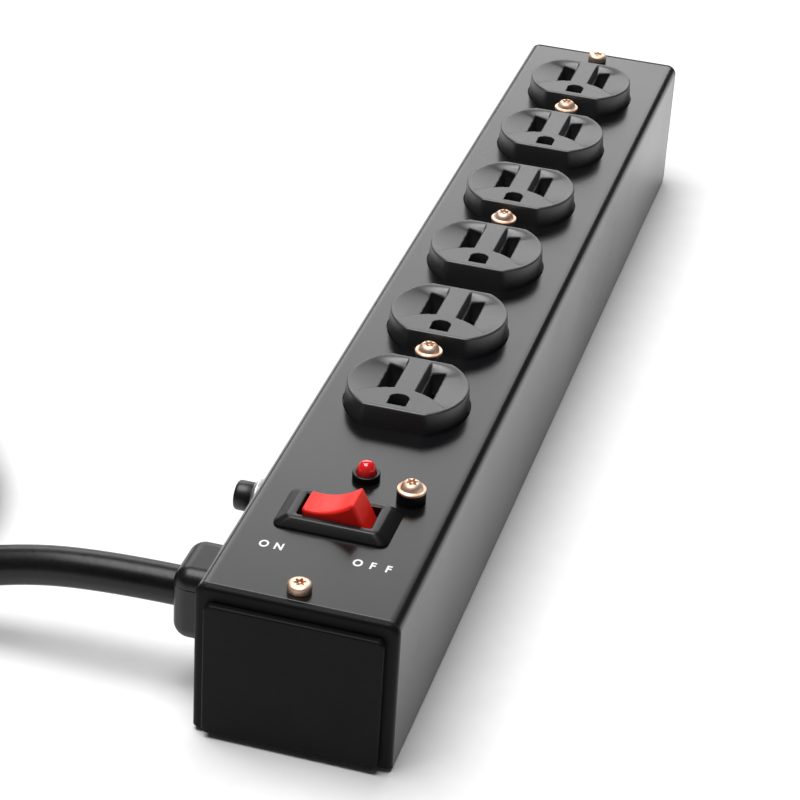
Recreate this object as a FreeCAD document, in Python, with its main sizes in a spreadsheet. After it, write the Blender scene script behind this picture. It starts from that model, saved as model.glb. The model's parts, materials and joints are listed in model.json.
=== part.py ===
import FreeCAD, Part
import math
import os
import types

import Sketcher

# Six-outlet steel power strip. Millimetres, +Z up, +Y along the strip towards the end away from
# the switch, origin at the middle of the underside.

doc = FreeCAD.newDocument("PowerStrip")
sheet = doc.addObject("Spreadsheet::Sheet", "Sizes")

driving_sizes = (
    ("housing_width", 52.0, "outside, across the strip"),
    ("housing_height", 44.5, "underside to top face"),
    ("housing_length", 348.0, "steel channel, without the end caps"),
    ("sheet_steel", 1.2, "thickness of the channel and the base plate"),
    ("bend_radius", 3.2, "outside radius of the two long top bends"),
    ("fit_gap", 0.15, "side gap where one piece slides into another"),
    ("running_gap", 0.05, "radial gap at a pivot"),
    ("air_gap", 0.3, "gap round a part that moves"),
    ("base_flange", 7.0, "height of the base plate's upturned edges"),
    ("keyhole_pitch", 254.0, "between the two keyhole slots"),
    ("base_clip", 0.05, "side gap between base plate and channel"),
    ("keyhole_head", 4.2, "radius of the keyhole's entry"),
    ("keyhole_neck", 2.2, "half width of the keyhole's slot"),
    ("keyhole_travel", 8.0, "entry centre to the end of the slot"),
    ("cap_flange", 2.0, "end cap rim, thickness"),
    ("cap_lift", 1.3, "end cap rim above the underside"),
    ("cap_panel_step", 2.0, "raised panel, proud of the rim"),
    ("cap_panel_side", 3.0, "rim width beside the panel"),
    ("cap_panel_top", 4.2, "rim width above the panel"),
    ("cap_edge_radius", 1.4, "rounding of the rim"),
    ("cap_panel_radius", 2.0, "panel corner radius"),
    ("cap_depth", 10.0, "how far the cap reaches into the channel"),
    ("cap_wall", 2.4, "wall of the part inside the channel"),
    ("end_screw_inset", 4.6, "end screw, from the end of the channel"),
    ("end_screw_offset", -1.2, "end screw, from the middle plane"),
    ("screw_radius", 1.5, "screw shank"),
    ("screw_head_radius", 3.1, "pan head"),
    ("screw_head_height", 2.4, "pan head"),
    ("dome_radius", 2.9, "dome of a flanged screw"),
    ("flange_radius", 3.85, "flange under the dome"),
    ("flange_thickness", 0.7, "flange under the dome"),
    ("row_x", -0.7, "line of the outlets, from the middle plane"),
    ("outlet_first", -75.9, "outlet nearest the switch"),
    ("outlet_pitch", 42.9, "between neighbouring outlets"),
    ("face_radius", 17.2, "outlet face at the housing"),
    ("face_trim", 2.85, "cut off the face circle at each flat"),
    ("face_draft", 0.45, "how much the face narrows to its top"),
    ("face_rise", 6.1, "face above the housing"),
    ("face_gap", 0.2, "gap between face and housing opening"),
    ("face_rim", 1.4, "flat rim outside the blade funnels"),
    ("plate_width", 40.0, "duplex plate under the housing"),
    ("plate_gap", 5.8, "between neighbouring duplex plates"),
    ("tab_drop", 8.0, "contact tabs below the duplex back"),
    ("plate_thickness", 3.0, "duplex plate under the housing"),
    ("ridge_half", 3.0, "half width of the ridge between the blade funnels"),
    ("funnel_depth", 3.2, "blade funnel at the ridge"),
    ("funnel_reach", 2.9, "length of the funnel's far slope"),
    ("well_width", 3.9, "blade well"),
    ("well_near", -3.2, "blade well, near end from the outlet's middle"),
    ("well_far", 10.2, "blade well, far end from the outlet's middle"),
    ("well_depth", 6.5, "blade well, below the outlet face"),
    ("blade_spacing", 12.7, "between the two blade slots"),
    ("blade_slot", 2.4, "blade slot width"),
    ("blade_slot_length", 8.6, "blade slot"),
    ("blade_slot_middle", 3.2, "blade slot, from the outlet's middle"),
    ("ground_width", 5.4, "ground hole"),
    ("ground_far", -6.0, "far end of the ground hole from the outlet's middle"),
    ("ground_near", -12.0, "near end of the ground hole from the outlet's middle"),
    ("ground_land_radius", 15.1, "raised land round the ground hole"),
    ("ground_land_middle", -18.1, "centre of that land's edge"),
    ("post_radius", 3.6, "post under a duplex screw"),
    ("post_rise", 4.2, "post above the housing"),
    ("yoke_thickness", 1.4, "steel yoke under the duplex plate"),
    ("yoke_width", 7.0, "steel yoke"),
    ("back_height", 19.0, "duplex back"),
    ("back_wall", 2.2, "duplex back"),
    ("contact_sheet", 0.8, "contact brass"),
    ("contact_height", 11.0, "contact clip"),
    ("contact_length", 9.0, "contact clip"),
    ("contact_gap", 1.4, "contact clip, opening for a blade"),
    ("switch_x", -1.4, "switch middle"),
    ("switch_y", -136.5, "switch middle"),
    ("bezel_width", 30.2, "switch bezel across the strip"),
    ("bezel_length", 17.9, "switch bezel along the strip"),
    ("bezel_top_width", 23.8, "flat top of the bezel"),
    ("bezel_top_length", 13.6, "flat top of the bezel"),
    ("bezel_rise", 2.5, "bezel above the housing"),
    ("opening_width", 19.6, "rocker opening"),
    ("opening_length", 9.9, "rocker opening"),
    ("switch_body_width", 27.0, "switch body"),
    ("switch_body_length", 13.0, "switch body"),
    ("switch_body_depth", 19.0, "switch body below the top face"),
    ("switch_wall", 1.5, "switch body"),
    ("pivot_drop", 0.5, "rocker pivot below the top face"),
    ("pivot_radius", 1.2, "rocker pivot pin"),
    ("rocker_width", 9.3, "rocker along the strip"),
    ("rocker_tilt", 17.0, "rocker, each way from level"),
    ("lever_drop", 11.6, "contact lever pivot below the rocker pivot"),
    ("lever_tilt", 6.0, "contact lever, each way from level"),
    ("lever_half", 7.0, "contact lever, half length"),
    ("contact_open", 1.75, "fixed contact below the lever pivot"),
    ("plunger_radius", 1.1, "plunger in the rocker"),
    ("plunger_reach", 10.9, "rocker pivot to plunger tip"),
    ("lamp_x", -0.3, "indicator lamp"),
    ("lamp_y", -115.9, "indicator lamp"),
    ("lamp_collar_radius", 3.7, "lamp collar"),
    ("lamp_collar_rise", 1.9, "lamp collar"),
    ("lamp_lens_radius", 2.5, "lamp lens"),
    ("lamp_lens_rise", 6.3, "lamp lens above the housing"),
    ("board_screw_x", 13.5, "surge board screw"),
    ("board_screw_y", -121.9, "surge board screw"),
    ("board_collar_rise", 3.0, "collar under the surge board screw"),
    ("board_collar_radius", 3.85, "collar under the surge board screw"),
    ("board_height", 26.0, "surge board above the underside"),
    ("board_thickness", 1.6, "surge board"),
    ("board_width", 28.0, "surge board"),
    ("board_length", 27.0, "surge board"),
    ("breaker_y", -110.5, "circuit breaker"),
    ("breaker_z", 27.5, "circuit breaker"),
    ("breaker_neck_radius", 5.4, "threaded neck"),
    ("breaker_neck_reach", 6.2, "neck outside the housing"),
    ("breaker_nut_across", 12.8, "ring nut, outside diameter"),
    ("breaker_nut_height", 4.2, "ring nut"),
    ("breaker_button_radius", 4.1, "reset button"),
    ("breaker_button_reach", 11.3, "button end from the housing wall"),
    ("breaker_body_depth", 15.0, "breaker body"),
    ("breaker_body_length", 14.0, "breaker body"),
    ("breaker_body_height", 26.0, "breaker body"),
    ("relief_y", -154.5, "strain relief"),
    ("relief_z", 27.0, "strain relief"),
    ("relief_reach", 10.8, "strain relief outside the wall"),
    ("relief_width", 19.0, "strain relief along the strip"),
    ("relief_height", 21.0, "strain relief"),
    ("relief_corner", 4.5, "strain relief corner radius"),
    ("relief_split", 6.0, "parting line above the cord's middle"),
    ("relief_neck", 8.2, "neck in the wall, radius"),
    ("cord_diameter", 10.5, "supply cord"),
    ("wire_radius", 1.45, "insulated bus wire"),
    ("coil_x", -167.9, "middle of the coil"),
    ("coil_y", -117.0, "middle of the coil"),
    ("coil_radius", 49.45, "middle of the coil's turns"),
    ("coil_height", 31.5, "three layers of turns"),
    ("plug_length", 36.0, "plug body"),
    ("plug_radius", 13.0, "plug body"),
    ("plug_neck", 14.0, "plug strain relief"),
    ("blade_length", 17.5, "plug blades"),
    ("blade_width", 6.35, "plug blades"),
    ("blade_thickness", 1.5, "plug blades"),
    ("pin_radius", 2.4, "plug ground pin"),
)


class Size:
    """A number together with the sheet formula that gives it."""

    def __init__(self, value, formula):
        self.value = float(value)
        self.formula = formula

    def __add__(self, other):
        return Size(self.value + number(other), f"({self.formula} + {formula(other)})")

    def __sub__(self, other):
        return Size(self.value - number(other), f"({self.formula} - {formula(other)})")

    def __mul__(self, other):
        return Size(self.value * number(other), f"({self.formula} * {formula(other)})")

    def __truediv__(self, other):
        return Size(self.value / number(other), f"({self.formula} / {formula(other)})")

    def __radd__(self, other):
        return plain(other) + self

    def __rsub__(self, other):
        return plain(other) - self

    def __rmul__(self, other):
        return plain(other) * self

    def __neg__(self):
        return plain(0) - self


def plain(value):
    return Size(value, f"({float(value):.6f})")


def number(value):
    return value.value if isinstance(value, Size) else float(value)


def formula(value):
    return value.formula if isinstance(value, Size) else plain(value).formula


def fill_sheet():
    for row, (alias, value, note) in enumerate(driving_sizes, 1):
        sheet.set(f"A{row}", note)
        sheet.set(f"B{row}", str(value))
        sheet.setAlias(f"B{row}", alias)
    doc.recompute()
    return types.SimpleNamespace(
        **{alias: Size(value, f"Sizes.{alias}") for alias, value, note in driving_sizes}
    )


d = fill_sheet()
sub_parts = []

# ---------------------------------------------------------------- helpers


def bind(thing, path, value):
    thing.setExpression(path, formula(value))


def place(thing, x, y, z):
    for axis, value in zip("xyz", (x, y, z)):
        bind(thing, f"Placement.Base.{axis}", value)


def block(size, low):
    """Box from its lowest corner."""
    thing = doc.addObject("Part::Box", "Block")
    for path, value in zip(("Length", "Width", "Height"), size):
        bind(thing, path, value)
    place(thing, *low)
    return thing


def pillar(size, middle, low_z):
    """Box centred on a plan position, from a height upwards."""
    dx, dy, dz = size
    x, y = middle
    return block(size, (x - dx / 2, y - dy / 2, low_z))


turns = {
    "x": FreeCAD.Rotation(FreeCAD.Vector(0, 1, 0), 90),
    "y": FreeCAD.Rotation(FreeCAD.Vector(1, 0, 0), -90),
    "z": FreeCAD.Rotation(),
}


def turned(thing, start, axis):
    thing.Placement = FreeCAD.Placement(FreeCAD.Vector(), turns[axis])
    place(thing, *start)
    return thing


def rod(radius, length, start, axis="z"):
    thing = doc.addObject("Part::Cylinder", "Rod")
    bind(thing, "Radius", radius)
    bind(thing, "Height", length)
    return turned(thing, start, axis)


def cone(radius_low, radius_high, length, start, axis="z"):
    thing = doc.addObject("Part::Cone", "Cone")
    bind(thing, "Radius1", radius_low)
    bind(thing, "Radius2", radius_high)
    bind(thing, "Height", length)
    return turned(thing, start, axis)


def ball(radius, middle):
    thing = doc.addObject("Part::Sphere", "Ball")
    bind(thing, "Radius", radius)
    place(thing, *middle)
    return thing


def fuse(*things):
    thing = doc.addObject("Part::MultiFuse", "Fuse")
    thing.Shapes = list(things)
    thing.Refine = True
    return thing


def common(*things):
    thing = doc.addObject("Part::MultiCommon", "Common")
    thing.Shapes = list(things)
    return thing


def cut(base, *tools):
    thing = doc.addObject("Part::Cut", "Cut")
    thing.Base = base
    thing.Tool = tools[0] if len(tools) == 1 else fuse(*tools)
    return thing


def sub_part(label, thing):
    thing.Label = label
    sub_parts.append(thing)
    return thing


def solid_feature(label, shape):
    thing = doc.addObject("Part::Feature", label)
    thing.Shape = shape
    thing.Placement = FreeCAD.Placement()
    return sub_part(label, thing)


# sketches and body features


def new_body(label):
    return sub_part(label, doc.addObject("PartDesign::Body", label))


def sketch_on(body, role, height=0.0):
    plane = [item for item in body.Origin.OriginFeatures if item.Role == role][0]
    sketch = body.newObject("Sketcher::SketchObject", "Sketch")
    sketch.AttachmentSupport = [(plane, "")]
    sketch.MapMode = "FlatFace"
    bind(sketch, "AttachmentOffset.Base.z", height)
    return sketch


def hold(sketch, kind, first, second, value):
    index = sketch.addConstraint(Sketcher.Constraint(kind, *first, *second, number(value)))
    sketch.setExpression(f"Constraints[{index}]", formula(value))


def pin_point(sketch, geometry, position, x, y):
    hold(sketch, "DistanceX", (-1, 1), (geometry, position), x)
    hold(sketch, "DistanceY", (-1, 1), (geometry, position), y)


def polygon(sketch, points):
    """Closed straight outline with every corner held by the sheet."""
    start = sketch.GeometryCount
    spots = [FreeCAD.Vector(number(x), number(y), 0) for x, y in points]
    count = len(points)
    for index in range(count):
        sketch.addGeometry(Part.LineSegment(spots[index], spots[(index + 1) % count]), False)
    for index in range(count):
        following = start + (index + 1) % count
        sketch.addConstraint(Sketcher.Constraint("Coincident", start + index, 2, following, 1))
    for index, (x, y) in enumerate(points):
        pin_point(sketch, start + index, 1, x, y)


def oblong(sketch, low, high):
    polygon(sketch, [low, (high[0], low[1]), high, (low[0], high[1])])


def circle(sketch, radius, x, y):
    middle = FreeCAD.Vector(number(x), number(y), 0)
    index = sketch.addGeometry(
        Part.Circle(middle, FreeCAD.Vector(0, 0, 1), number(radius)), False
    )
    pin_point(sketch, index, 3, x, y)
    row = sketch.addConstraint(Sketcher.Constraint("Radius", index, number(radius)))
    sketch.setExpression(f"Constraints[{row}]", formula(radius))


def cut_circle(sketch, radius, half_flats, x, y):
    """Circle with its two ends along the sketch's y cut off by straight flats."""
    r, h = number(radius), number(half_flats)
    middle = FreeCAD.Vector(number(x), number(y), 0)
    reach = math.asin(h / r)
    start = sketch.GeometryCount
    corners = [
        middle + FreeCAD.Vector(sx * math.sqrt(r * r - h * h), sy * h, 0)
        for sx, sy in ((1, -1), (1, 1), (-1, 1), (-1, -1))
    ]
    ring = Part.Circle(middle, FreeCAD.Vector(0, 0, 1), r)
    sketch.addGeometry(Part.ArcOfCircle(ring, -reach, reach), False)
    sketch.addGeometry(Part.LineSegment(corners[1], corners[2]), False)
    sketch.addGeometry(Part.ArcOfCircle(ring, math.pi - reach, math.pi + reach), False)
    sketch.addGeometry(Part.LineSegment(corners[3], corners[0]), False)
    for index in range(4):
        following = start + (index + 1) % 4
        sketch.addConstraint(Sketcher.Constraint("Coincident", start + index, 2, following, 1))
    for line in (start + 1, start + 3):
        sketch.addConstraint(Sketcher.Constraint("Horizontal", line))
    for arc in (start, start + 2):
        pin_point(sketch, arc, 3, x, y)
    row = sketch.addConstraint(Sketcher.Constraint("Radius", start, r))
    sketch.setExpression(f"Constraints[{row}]", formula(radius))
    hold(sketch, "DistanceY", (-1, 1), (start + 1, 1), y + half_flats)
    hold(sketch, "DistanceY", (-1, 1), (start + 3, 1), y - half_flats)


def pad(body, sketch, length, up=True):
    feature = body.newObject("PartDesign::Pad", "Pad")
    feature.Profile = sketch
    feature.Reversed = not up
    bind(feature, "Length", length)
    return feature


def pocket(body, sketch, depth):
    """Cuts from the sketch against its normal and makes sure that it did."""
    doc.recompute()
    before = body.Shape.Volume
    feature = body.newObject("PartDesign::Pocket", "Pocket")
    feature.Profile = sketch
    bind(feature, "Length", depth)
    doc.recompute()
    if body.Shape.Volume > before - 1e-6:
        raise ValueError(f"a pocket in {body.Label} cuts nothing")
    return feature


def round_edges(body, radius, wanted):
    """Fillet on the edges that the test picks."""
    doc.recompute()
    tip = body.Tip
    names = [f"Edge{i}" for i, edge in enumerate(tip.Shape.Edges, 1) if wanted(edge)]
    if not names:
        raise ValueError(f"no edges to round on {body.Label}")
    feature = body.newObject("PartDesign::Fillet", "Fillet")
    feature.Base = (tip, names)
    bind(feature, "Radius", radius)
    doc.recompute()
    return feature


def runs_along(edge, axis):
    if not isinstance(edge.Curve, Part.Line):
        return False
    return abs(abs(getattr(edge.Curve.Direction, axis)) - 1) < 1e-6


def near(value, target):
    return abs(value - number(target)) < 1e-3


# ---------------------------------------------------------------- shared places

half_width = d.housing_width / 2
half_length = d.housing_length / 2
inner_half = half_width - d.sheet_steel
top = d.housing_height
inner_top = top - d.sheet_steel
plate_low = inner_top - d.plate_thickness
plate_length = d.outlet_pitch * 2 - d.plate_gap
face_half = d.face_radius - d.face_trim
yoke_low = plate_low - d.yoke_thickness
back_low = yoke_low - d.back_height
face_top = top + d.face_rise
post_top = top + d.post_rise
ground_round = d.ground_width / 2
pivot_z = top - d.pivot_drop
lever_z = pivot_z - d.lever_drop
body_floor = top - d.switch_body_depth


def outlet_y(index):
    return d.outlet_first + d.outlet_pitch * index


def duplex_y(index):
    return outlet_y(2 * index) + d.outlet_pitch / 2


end_screws = [(d.end_screw_offset, side * (half_length - d.end_screw_inset)) for side in (-1, 1)]


# ---------------------------------------------------------------- housing


def make_housing():
    body = new_body("housing")
    outer = sketch_on(body, "XZ_Plane", -half_length)
    oblong(outer, (-half_width, 0), (half_width, top))
    pad(body, outer, d.housing_length)
    round_edges(
        body,
        d.bend_radius,
        lambda edge: runs_along(edge, "y") and near(edge.CenterOfMass.z, top),
    )
    inner = sketch_on(body, "XZ_Plane", half_length)
    oblong(inner, (-inner_half, -1), (inner_half, inner_top))
    pocket(body, inner, d.housing_length)
    round_edges(
        body,
        d.bend_radius - d.sheet_steel,
        lambda edge: runs_along(edge, "y")
        and near(edge.CenterOfMass.z, inner_top)
        and near(abs(edge.CenterOfMass.x), inner_half),
    )
    holes = sketch_on(body, "XY_Plane", top)
    for index in range(6):
        cut_circle(
            holes, d.face_radius + d.face_gap, face_half + d.face_gap, d.row_x, outlet_y(index)
        )
    for index in range(3):
        circle(holes, d.post_radius + d.face_gap, d.row_x, duplex_y(index))
    half_x = d.switch_body_width / 2 + d.fit_gap
    half_y = d.switch_body_length / 2 + d.fit_gap
    oblong(
        holes,
        (d.switch_x - half_x, d.switch_y - half_y),
        (d.switch_x + half_x, d.switch_y + half_y),
    )
    circle(holes, d.lamp_lens_radius + d.air_gap, d.lamp_x, d.lamp_y)
    circle(holes, d.screw_radius + d.air_gap, d.board_screw_x, d.board_screw_y)
    for x, y in end_screws:
        circle(holes, d.screw_radius + d.air_gap, x, y)
    pocket(body, holes, d.sheet_steel)
    side = sketch_on(body, "YZ_Plane", -inner_half)
    circle(side, d.breaker_neck_radius + d.fit_gap, d.breaker_y, d.breaker_z)
    circle(side, d.relief_neck + d.fit_gap, d.relief_y, d.relief_z)
    pocket(body, side, d.sheet_steel)


def make_base_plate():
    body = new_body("base_plate")
    half_x = inner_half - d.base_clip
    half_y = half_length - d.fit_gap
    outer = sketch_on(body, "XY_Plane")
    oblong(outer, (-half_x, -half_y), (half_x, half_y))
    pad(body, outer, d.base_flange)
    inner = sketch_on(body, "XY_Plane", d.base_flange)
    in_x = half_x - d.sheet_steel
    oblong(inner, (-in_x, -half_y - 1), (in_x, half_y + 1))
    pocket(body, inner, d.base_flange - d.sheet_steel)
    slots = sketch_on(body, "XY_Plane", d.sheet_steel)
    for side in (-1, 1):
        circle(slots, d.keyhole_head, 0, side * d.keyhole_pitch / 2)
    pocket(body, slots, d.sheet_steel)
    necks = sketch_on(body, "XY_Plane", d.sheet_steel)
    for side in (-1, 1):
        y = side * d.keyhole_pitch / 2
        oblong(necks, (-d.keyhole_neck, y), (d.keyhole_neck, y + d.keyhole_travel))
    pocket(body, necks, d.sheet_steel)
    round_edges(
        body,
        d.keyhole_neck - 0.01,
        lambda edge: runs_along(edge, "z")
        and near(abs(edge.CenterOfMass.x), d.keyhole_neck)
        and any(
            near(edge.CenterOfMass.y, side * d.keyhole_pitch / 2 + d.keyhole_travel)
            for side in (-1, 1)
        ),
    )


def make_end_cap(label, side):
    """Moulded cap: rim and raised panel outside, a hollow spigot inside the channel."""
    body = new_body(label)
    seam = side * half_length
    toward = -seam  # the sketch plane's normal points to -Y
    outward = side < 0
    rim = sketch_on(body, "XZ_Plane", toward)
    oblong(rim, (-half_width, d.cap_lift), (half_width, top))
    pad(body, rim, d.cap_flange, outward)
    face = half_length + d.cap_flange
    bottom = number(d.cap_lift) + 0.5
    round_edges(
        body,
        d.bend_radius,
        lambda edge: runs_along(edge, "y") and near(edge.CenterOfMass.z, top),
    )
    round_edges(
        body,
        d.cap_edge_radius,
        lambda edge: near(abs(edge.CenterOfMass.y), face) and edge.CenterOfMass.z > bottom,
    )
    panel_half = half_width - d.cap_panel_side
    panel_top = top - d.cap_panel_top
    panel = sketch_on(body, "XZ_Plane", toward)
    oblong(panel, (-panel_half, d.cap_lift), (panel_half, panel_top))
    pad(body, panel, d.cap_flange + d.cap_panel_step, outward)
    front = face + d.cap_panel_step
    round_edges(
        body,
        d.cap_panel_radius,
        lambda edge: runs_along(edge, "y") and near(abs(edge.CenterOfMass.x), panel_half),
    )
    round_edges(body, 0.6, lambda edge: near(abs(edge.CenterOfMass.y), front))
    gap = d.fit_gap * 2 + d.sheet_steel
    spigot_half = inner_half - gap
    spigot_top = inner_top - d.fit_gap
    spigot = sketch_on(body, "XZ_Plane", toward)
    oblong(spigot, (-spigot_half, d.sheet_steel + d.fit_gap), (spigot_half, spigot_top))
    pad(body, spigot, d.cap_depth, not outward)
    hollow = sketch_on(body, "XZ_Plane", toward + d.cap_depth * side)
    hollow_top = spigot_top - d.cap_wall
    hollow_low = d.sheet_steel + d.fit_gap + d.cap_wall
    reach = spigot_half - d.cap_wall
    boss = d.screw_radius + d.cap_wall
    for low_x, high_x in (
        (-reach, d.end_screw_offset - boss),
        (d.end_screw_offset + boss, reach),
    ):
        oblong(hollow, (low_x, hollow_low), (high_x, hollow_top))
    doc.recompute()
    before = body.Shape.Volume
    space = body.newObject("PartDesign::Pocket", "Pocket")
    space.Profile = hollow
    space.Reversed = outward
    bind(space, "Length", d.cap_depth)
    doc.recompute()
    if body.Shape.Volume > before - 1:
        raise ValueError("the cap's hollow cuts nothing")
    bore = sketch_on(body, "XY_Plane", spigot_top)
    circle(bore, d.screw_radius, d.end_screw_offset, side * (half_length - d.end_screw_inset))
    pocket(body, bore, spigot_top)


# ---------------------------------------------------------------- screws


def lobed_recess(middle, radius, depth, pin_radius):
    """Six-lobe recess with a centre pin, cut from the head's top downwards."""
    x, y, z = middle
    lobes = [rod(radius * 0.72, depth, (x, y, z - depth))]
    for index in range(6):
        angle = math.radians(60 * index)
        lobes.append(
            rod(
                radius * 0.3,
                depth,
                (x + radius * 0.7 * math.cos(angle), y + radius * 0.7 * math.sin(angle), z - depth),
            )
        )
    return cut(fuse(*lobes), rod(pin_radius, depth, (x, y, z - depth)))


def pan_screw(x, y, seat, length):
    head = rod(d.screw_head_radius, d.screw_head_height * 0.7, (x, y, seat))
    crown = cone(
        d.screw_head_radius,
        d.screw_head_radius * 0.72,
        d.screw_head_height * 0.3,
        (x, y, seat + d.screw_head_height * 0.7),
    )
    shank = rod(d.screw_radius, length, (x, y, seat - length))
    return cut(
        fuse(head, crown, shank),
        lobed_recess((x, y, seat + d.screw_head_height), d.screw_radius, plain(1.3), plain(0.4)),
    )


def flanged_screw(x, y, seat, length):
    flange = rod(d.flange_radius, d.flange_thickness, (x, y, seat))
    rise = plain(1.9)
    big = (d.dome_radius * d.dome_radius + rise * rise) / (rise * 2)
    dome = common(
        ball(big, (x, y, seat + d.flange_thickness + rise - big)),
        rod(d.dome_radius + 1, rise, (x, y, seat + d.flange_thickness)),
    )
    shank = rod(d.screw_radius, length, (x, y, seat - length))
    return cut(
        fuse(flange, dome, shank),
        lobed_recess(
            (x, y, seat + d.flange_thickness + rise), d.screw_radius, plain(1.4), plain(0.4)
        ),
    )


def make_screws():
    depth = d.sheet_steel + d.cap_depth
    sub_part("end_screws", fuse(*[pan_screw(x, y, top, depth) for x, y in end_screws]))
    shank = post_top - yoke_low + 2.0
    sub_part(
        "duplex_screws",
        fuse(*[flanged_screw(d.row_x, duplex_y(i), post_top, shank) for i in range(3)]),
    )
    seat = top + d.board_collar_rise
    reach = seat - d.board_height + 1.0
    sub_part("board_screw", flanged_screw(d.board_screw_x, d.board_screw_y, seat, reach))
    collar = rod(d.board_collar_radius, d.board_collar_rise, (d.board_screw_x, d.board_screw_y, top))
    hole = rod(
        d.screw_radius + d.fit_gap, d.board_collar_rise, (d.board_screw_x, d.board_screw_y, top)
    )
    sub_part("board_screw_collar", cut(collar, hole))


# ---------------------------------------------------------------- duplex receptacles


def funnel(side, y):
    """Sloping recess that leads a blade in, on one side of the ridge."""
    reach = d.face_radius - d.face_draft - d.face_rim
    wedge = doc.addObject("Part::Wedge", "Wedge")
    low, high = (d.ridge_half, d.ridge_half + 0.02)
    far = face_half - d.face_rim
    if side > 0:
        bottom, upper = (low, high), (d.ridge_half, reach)
    else:
        bottom, upper = (-high, -low), (-reach, -d.ridge_half)
    bind(wedge, "Xmin", bottom[0])
    bind(wedge, "Xmax", bottom[1])
    bind(wedge, "X2min", upper[0])
    bind(wedge, "X2max", upper[1])
    bind(wedge, "Ymin", plain(0))
    bind(wedge, "Ymax", d.funnel_depth)
    bind(wedge, "Zmin", -(far - d.funnel_reach))
    bind(wedge, "Z2min", -far)
    bind(wedge, "Zmax", far)
    bind(wedge, "Z2max", far)
    wedge.Placement = FreeCAD.Placement(
        FreeCAD.Vector(), FreeCAD.Rotation(FreeCAD.Vector(1, 0, 0), 90)
    )
    place(wedge, 0, y, face_top - d.funnel_depth)
    inside = rod(reach, d.funnel_depth, (0, y, face_top - d.funnel_depth))
    land = rod(
        d.ground_land_radius,
        d.funnel_depth,
        (0, y + d.ground_land_middle, face_top - d.funnel_depth),
    )
    return cut(common(wedge, inside), land)


def outlet_boss(y):
    body = cone(
        d.face_radius,
        d.face_radius - d.face_draft,
        face_top - inner_top,
        (0, y, inner_top),
    )
    flats = pillar((d.face_radius * 2, face_half * 2, face_top - inner_top), (0, y), inner_top)
    return common(body, flats)


def outlet_holes(y):
    """Funnels, wells, blade slots and ground hole of one outlet."""
    tools = []
    well_x = d.blade_spacing / 2 - 0.4
    length = d.well_far - d.well_near
    middle = (d.well_far + d.well_near) / 2
    for side in (-1, 1):
        tools.append(funnel(side, y))
        tools.append(
            pillar(
                (d.well_width, length, d.well_depth),
                (side * well_x, y + middle),
                face_top - d.well_depth,
            )
        )
        tools.append(
            pillar(
                (d.blade_slot, d.blade_slot_length, face_top - plate_low),
                (side * d.blade_spacing / 2, y + d.blade_slot_middle),
                plate_low,
            )
        )
    tall = face_top - plate_low
    centre = y + d.ground_far - ground_round
    tools.append(rod(ground_round, tall, (0, centre, plate_low)))
    straight = d.ground_far - ground_round - d.ground_near
    tools.append(block((d.ground_width, straight, tall), (-ground_round, y + d.ground_near, plate_low)))
    return tools


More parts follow.
